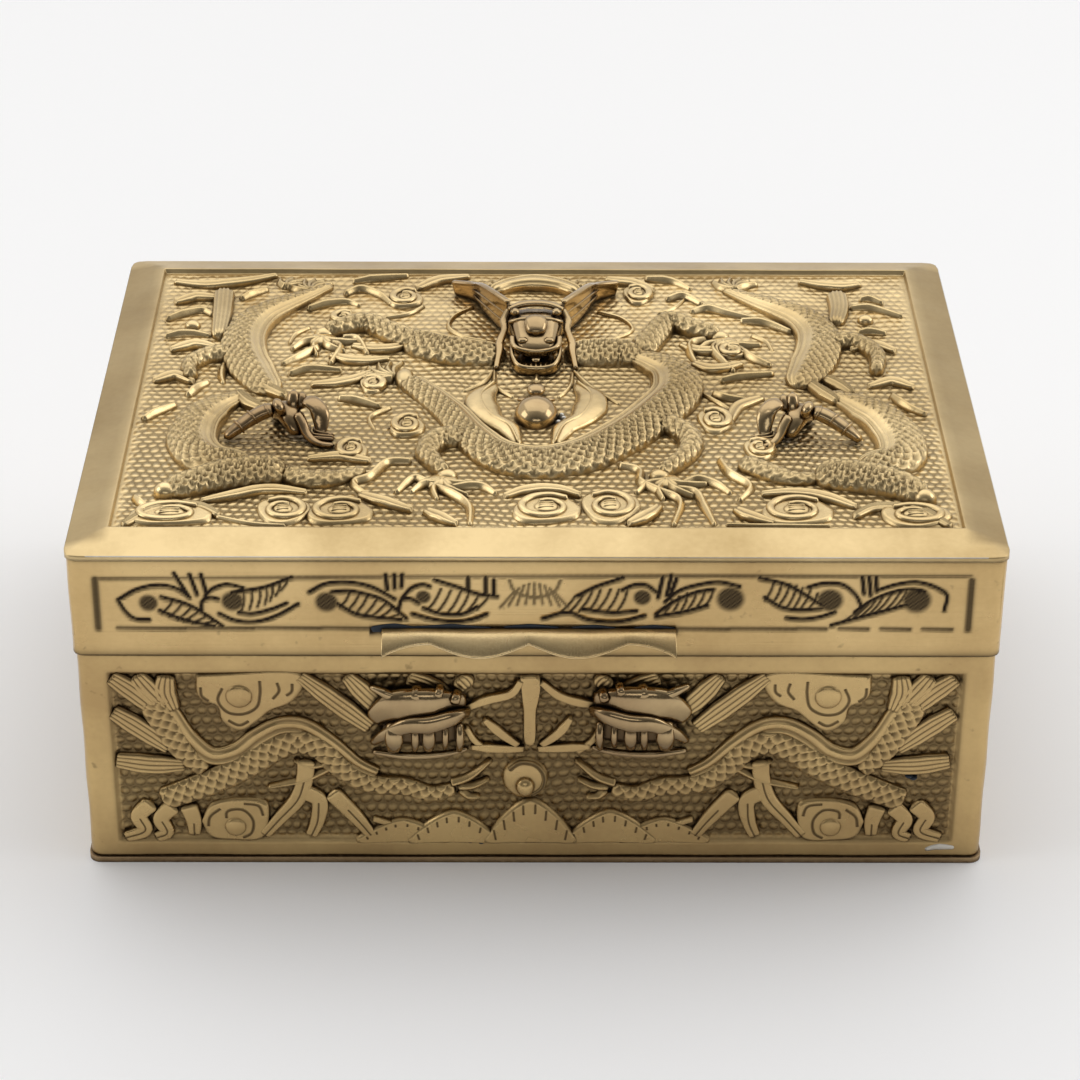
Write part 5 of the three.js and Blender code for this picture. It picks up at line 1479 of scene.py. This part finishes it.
# %% The front heads
FRONT_REACH = 5.6
reach = FRONT_REACH
for side, (cu, cv), node, name in ((-1, (-21, 30.4), "front_head_left", "front_left_head"),
                                   (1, (18.6, 30.8), "front_head_right", "front_right_head")):
    def placed(points):
        return [(cu - side * u, cv + v, *z) for u, v, *z in points]
    bm = new_mesh()
    skull = [(8.6, 4.6, 0.3), (3, 5.4, reach * 0.38), (-4, 4.4, reach * 0.34), (-8.8, 0.6, 0.3)]
    tube(bm, on_front, placed(skull), [3.4, 6.4, 7.2, 3.6], [1.6, reach * 0.56, reach * 0.56, 1.4], 20, 2.2)
    upper = [(9, 2.6, 0.6), (6.6, 3.2, reach * 0.56), (2, 2.2, reach * 0.74), (-2, 1.6, reach * 0.66),
             (-6.4, -1.4, reach * 0.42), (-8.8, -4.4, 0.6)]
    tube(bm, on_front, placed(upper), [2, 3.2, 3.6, 3.2, 2.4, 1.2], [1.4, 1.9, 2.0, 1.8, 1.4, 0.8], 16, 2.2)
    lower = [(8.8, -5.4, 0.4), (4.6, -5.8, 1.6), (-2, -6, 2.0), (-8.8, -6.2, 0.4)]
    tube(bm, on_front, placed(lower), [0.9, 1.3, 1.4, 0.9], [1.0, 1.2, 1.3, 0.9], 12, 2.6)
    for u, width, foot in ((-4.6, 3.4, -5.2), (-0.8, 1.6, -5.0), (1.6, 2.6, -5.0), (4.6, 1.3, -4.4),
                           (7.2, 1.6, -5)):
        tooth = [(u, 1.8, reach * 0.42), (u + 0.1, -1.4, reach * 0.6), (u - 0.1, foot, 1.8)]
        tube(bm, on_front, placed(tooth), [width * 0.8, width, width * 0.7], [1.4, 1.8, 1.4], 14, 2.4)
    mouth = [(-7, -1.8, 0.5), (0, -1.6, 0.8), (7.4, -1.2, 0.5)]
    # A dark bar fills the open mouth: painted shade.
    tube(bm, on_front, placed(mouth), [4, 6, 5], 1.4, 12, 3.0, dark=0.85)
    for u, v, size in ((6.4, 6.4, 1.8), (-0.6, 7.2, 2.4), (3.4, 7.6, 1.6)):
        tube(bm, on_front, placed([(u, v - 1, 0.8), (u + 0.1, v, reach * 0.5), (u + 0.6, v + 1.2, 0.8)]),
             size, size * 0.8, 14)
    horn = [(-3, 6, reach * 0.4), (-6, 7.4, reach * 0.36), (-9, 8, 0.5)]
    tube(bm, on_front, placed(horn), [2.2, 1.8, 1], [1.6, 1.4, 0.8], 12)
    keep(bm, name, shaded_head_brass, replaces=(node,), solid=True)

# %% The flaming pearl
PEARL_HEIGHT = 4.0
bm = new_mesh()
dome(bm, on_lid, (0, -9.5), 4.2, 4.7, PEARL_HEIGHT, 40, 16)
drop = [(0, 3.3, 0.3), (0, 1.6, 0.7), (0, -0.6, 1.2), (0, -2.8, 1.0)]
tube(bm, on_lid, drop, [0.8, 2.4, 3.7, 2.2], [0.7, 1.6, 2.1, 1.4], 18, 2.0)
collar = [(-3.6, -4.2, 0.9), (-1.8, -5.6, 1.6), (1.8, -5.6, 1.6), (3.6, -4.2, 0.9)]
tube(bm, on_lid, collar, 1.0, 0.8, 12)
keep(bm, "pearl", shaded_head_brass, replaces=("flaming_pearl",), solid=True)

# %% [markdown]
# ## Solder, painted shade under the lip, and dark blobs
# The plate was soldered on, and a thin silver line of solder shows along its front and right edges. A
# grey patch of it sits at the foot of the front wall. Near-black strips on the band under the lip are
# painted shade of the lip, and a few near-black blobs sit on the front wall.

# %% Solder line, patch, painted shade under the lip and dark blobs
def plain_metal(name, colour, roughness, metallic):
    made = brass(name, colour, tuple(0.7 * c for c in colour), tuple(0.3 * c for c in colour), roughness)
    made.node_tree.nodes["Principled BSDF"].inputs["Metallic"].default_value = metallic
    return made


def on_plan(p):
    return p


def on_band(p):
    return np.stack([p[:, 0], -LID_DEPTH / 2 - p[:, 2], p[:, 1]], 1)


solder = plain_metal("solder", (0.78, 0.74, 0.66), 0.3, 1.0)
near_black = plain_metal("near_black_shade", (0.03, 0.04, 0.055), 0.7, 0.0)
bm = new_mesh()
edge_z = RIM_TOP - 0.16
edge_x, edge_y = outer_x - 0.12, 0.12 - outer_y
end_x, end_y = LID_WIDTH / 2 - 2, LID_DEPTH / 2 - 2
for line in ([(-end_x, edge_y, edge_z), (0, edge_y, edge_z - 0.03), (end_x, edge_y, edge_z)],
             [(edge_x, -end_y, edge_z), (edge_x, 0, edge_z), (edge_x, end_y, edge_z)]):
    tube(bm, on_plan, line, 0.22, 0.3, 8, spacing=2.0)
ribbon(bm, on_front, [(71.4, 2.6), (74, 3.4), (77.6, 3.2)], [1.2, 2.6, 1.6], 0.9, rounded, 0.4, 12)
for k in range(7):
    bit = (4.7 + 0.6 * math.sin(2.4 * k), -10 - k)
    dome(bm, on_lid, bit, 0.75, 0.6, 0.9 + 0.3 * math.cos(k), segments=10, rings=5)
keep(bm, "solder_traces", solder)
bm = new_mesh()
# Near-black strips along the band under the lip: painted shade of the lip.
lip_shade_strips = [
    (-29.4, -21, 2.0, 50.9), (-22, -8, 1.0, 51.2), (-6, 4, 0.8, 51.3), (6, 14, 0.7, 51.2),
    (17, 24.6, 1.3, 51.0),
]
for start, end, width, level in lip_shade_strips:
    line = [(start, level), ((start + end) / 2, level + 0.3), (end, level - 0.1)]
    ribbon(bm, on_band, line, [width * 0.6, width, width * 0.5], 0.12, rounded, 0.4, 8)
for u, v in ((67.8, 19), (68.6, 18.6), (-12, 4.4), (-10, 4.2), (-7.6, 4.4)):
    dome(bm, on_front, (u, v), 0.8, 0.5, 1.0)
keep(bm, "lip_shade_and_dark_blobs", near_black)

# %% [markdown]
# ## The base
# The base plate's CAD solid is right as it is: a thin slab that shows as a line under the walls. It only
# gets its metal, browner, darker and duller: patina, and painted contact shade where it meets the floor.

# %% The base plate's metal
# The base plate's dark brown is patina and painted contact shade.
base_brass = brass("base_brass", (0.5, 0.36, 0.2), (0.38, 0.26, 0.14), (0.09, 0.06, 0.035), 0.42, spots=0.6)
base_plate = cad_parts["base_plate"]
for place in base_plate.material_slots:
    place.material = base_brass
print("base plate:", base_plate.name)

# %% [markdown]
# ## Studio, light and camera
# Polished brass shows its room more than itself. So the room is built for it: a pale floor, a large soft
# light above and behind, weaker ones at the sides and low in front, and a world that is white overhead and
# behind but dark towards the camera, which is what gives the heads their brown. The camera stands where
# the photograph's perspective puts it, from a fit of the box's own corners.

# %% Floor
FLOOR_REACH = 3.0
bm = bmesh.new()
bmesh.ops.create_grid(bm, x_segments=1, y_segments=1, size=FLOOR_REACH)
floor_mesh = bpy.data.meshes.new("floor")
bm.to_mesh(floor_mesh)
bm.free()
floor = bpy.data.objects.new("floor", floor_mesh)
bpy.context.scene.collection.objects.link(floor)
floor_paint = bpy.data.materials.new("pale_floor")
floor_paint.use_nodes = True
floor_shader = floor_paint.node_tree.nodes["Principled BSDF"]
floor_shader.inputs["Base Color"].default_value = (0.95, 0.95, 0.96, 1)
floor_shader.inputs["Roughness"].default_value = 0.65
floor_mesh.materials.append(floor_paint)
print("floor reaches", FLOOR_REACH, "m")

# %% World
world = bpy.data.worlds.new("studio")
bpy.context.scene.world = world
world.use_nodes = True
sky, wires = world.node_tree.nodes, world.node_tree.links
background = sky["Background"]
direction = sky.new("ShaderNodeTexCoord")
axes = sky.new("ShaderNodeSeparateXYZ")
wires.new(direction.outputs["Generated"], axes.inputs[0])
to_camera = sky.new("ShaderNodeMapRange")
wires.new(axes.outputs["Y"], to_camera.inputs["Value"])
for socket, value in (("From Min", -0.75), ("From Max", 0.35), ("To Min", 0.12), ("To Max", 0.84)):
    to_camera.inputs[socket].default_value = value
is_camera = sky.new("ShaderNodeLightPath")
shown = sky.new("ShaderNodeMix")
shown.data_type = "FLOAT"
wires.new(is_camera.outputs["Is Camera Ray"], shown.inputs["Factor"])
wires.new(to_camera.outputs["Result"], shown.inputs["A"])
shown.inputs["B"].default_value = 1.0
wires.new(shown.outputs["Result"], background.inputs["Strength"])
background.inputs["Color"].default_value = (1.0, 0.99, 0.97, 1)
print("world ready")


# %% Lights
def softbox(name, at, size, power, aim=(0.0, 0.0, 0.04)):
    light = bpy.data.lights.new(name, "AREA")
    light.shape = "RECTANGLE"
    light.size, light.size_y = size
    light.energy = power
    lamp = bpy.data.objects.new(name, light)
    lamp.location = at
    lamp.rotation_euler = (Vector(aim) - Vector(at)).to_track_quat("-Z", "Y").to_euler()
    bpy.context.scene.collection.objects.link(lamp)


softbox("overhead", (0.05, 0.5, 1.3), (2.6, 1.8), 9.6)
softbox("left_side", (-1.0, -0.1, 0.6), (0.6, 0.5), 1.7)
softbox("right_side", (1.0, 0.05, 0.6), (0.6, 0.5), 2.0)
softbox("front_low", (0.0, -1.2, 0.55), (0.9, 0.2), 0.8)
print("four softboxes")

# %% Camera
FOCAL_PIXELS, PHOTO_PIXELS, SENSOR = 3207.04, 1080.0, 36.0
CAMERA_PLACE = (-3.185, -538.679, 352.688)
PITCH, YAW, ROLL = 0.53364, 0.0076, 0.00562
cos_p, sin_p, cos_y, sin_y, cos_r, sin_r = (f(a) for a in (PITCH, YAW, ROLL) for f in (math.cos, math.sin))
look = Matrix(((1, 0, 0), (0, -sin_p, -cos_p), (0, cos_p, -sin_p)))
yaw = Matrix(((cos_y, -sin_y, 0), (sin_y, cos_y, 0), (0, 0, 1)))
roll = Matrix(((cos_r, -sin_r, 0), (sin_r, cos_r, 0), (0, 0, 1)))
facing = roll @ look @ yaw
camera_data = bpy.data.cameras.new("camera")
camera_data.sensor_width = SENSOR
camera_data.lens = FOCAL_PIXELS / PHOTO_PIXELS * SENSOR
camera_data.clip_start, camera_data.clip_end = 0.01, 20
camera = bpy.data.objects.new("camera", camera_data)
pose = Matrix((facing[0], -facing[1], -facing[2])).transposed().to_4x4()
pose.translation = Vector(CAMERA_PLACE) * MM
camera.matrix_world = pose
bpy.context.scene.collection.objects.link(camera)
bpy.context.scene.camera = camera
bpy.context.scene.view_settings.view_transform = "Standard"
print("lens", round(camera_data.lens, 1), "mm")
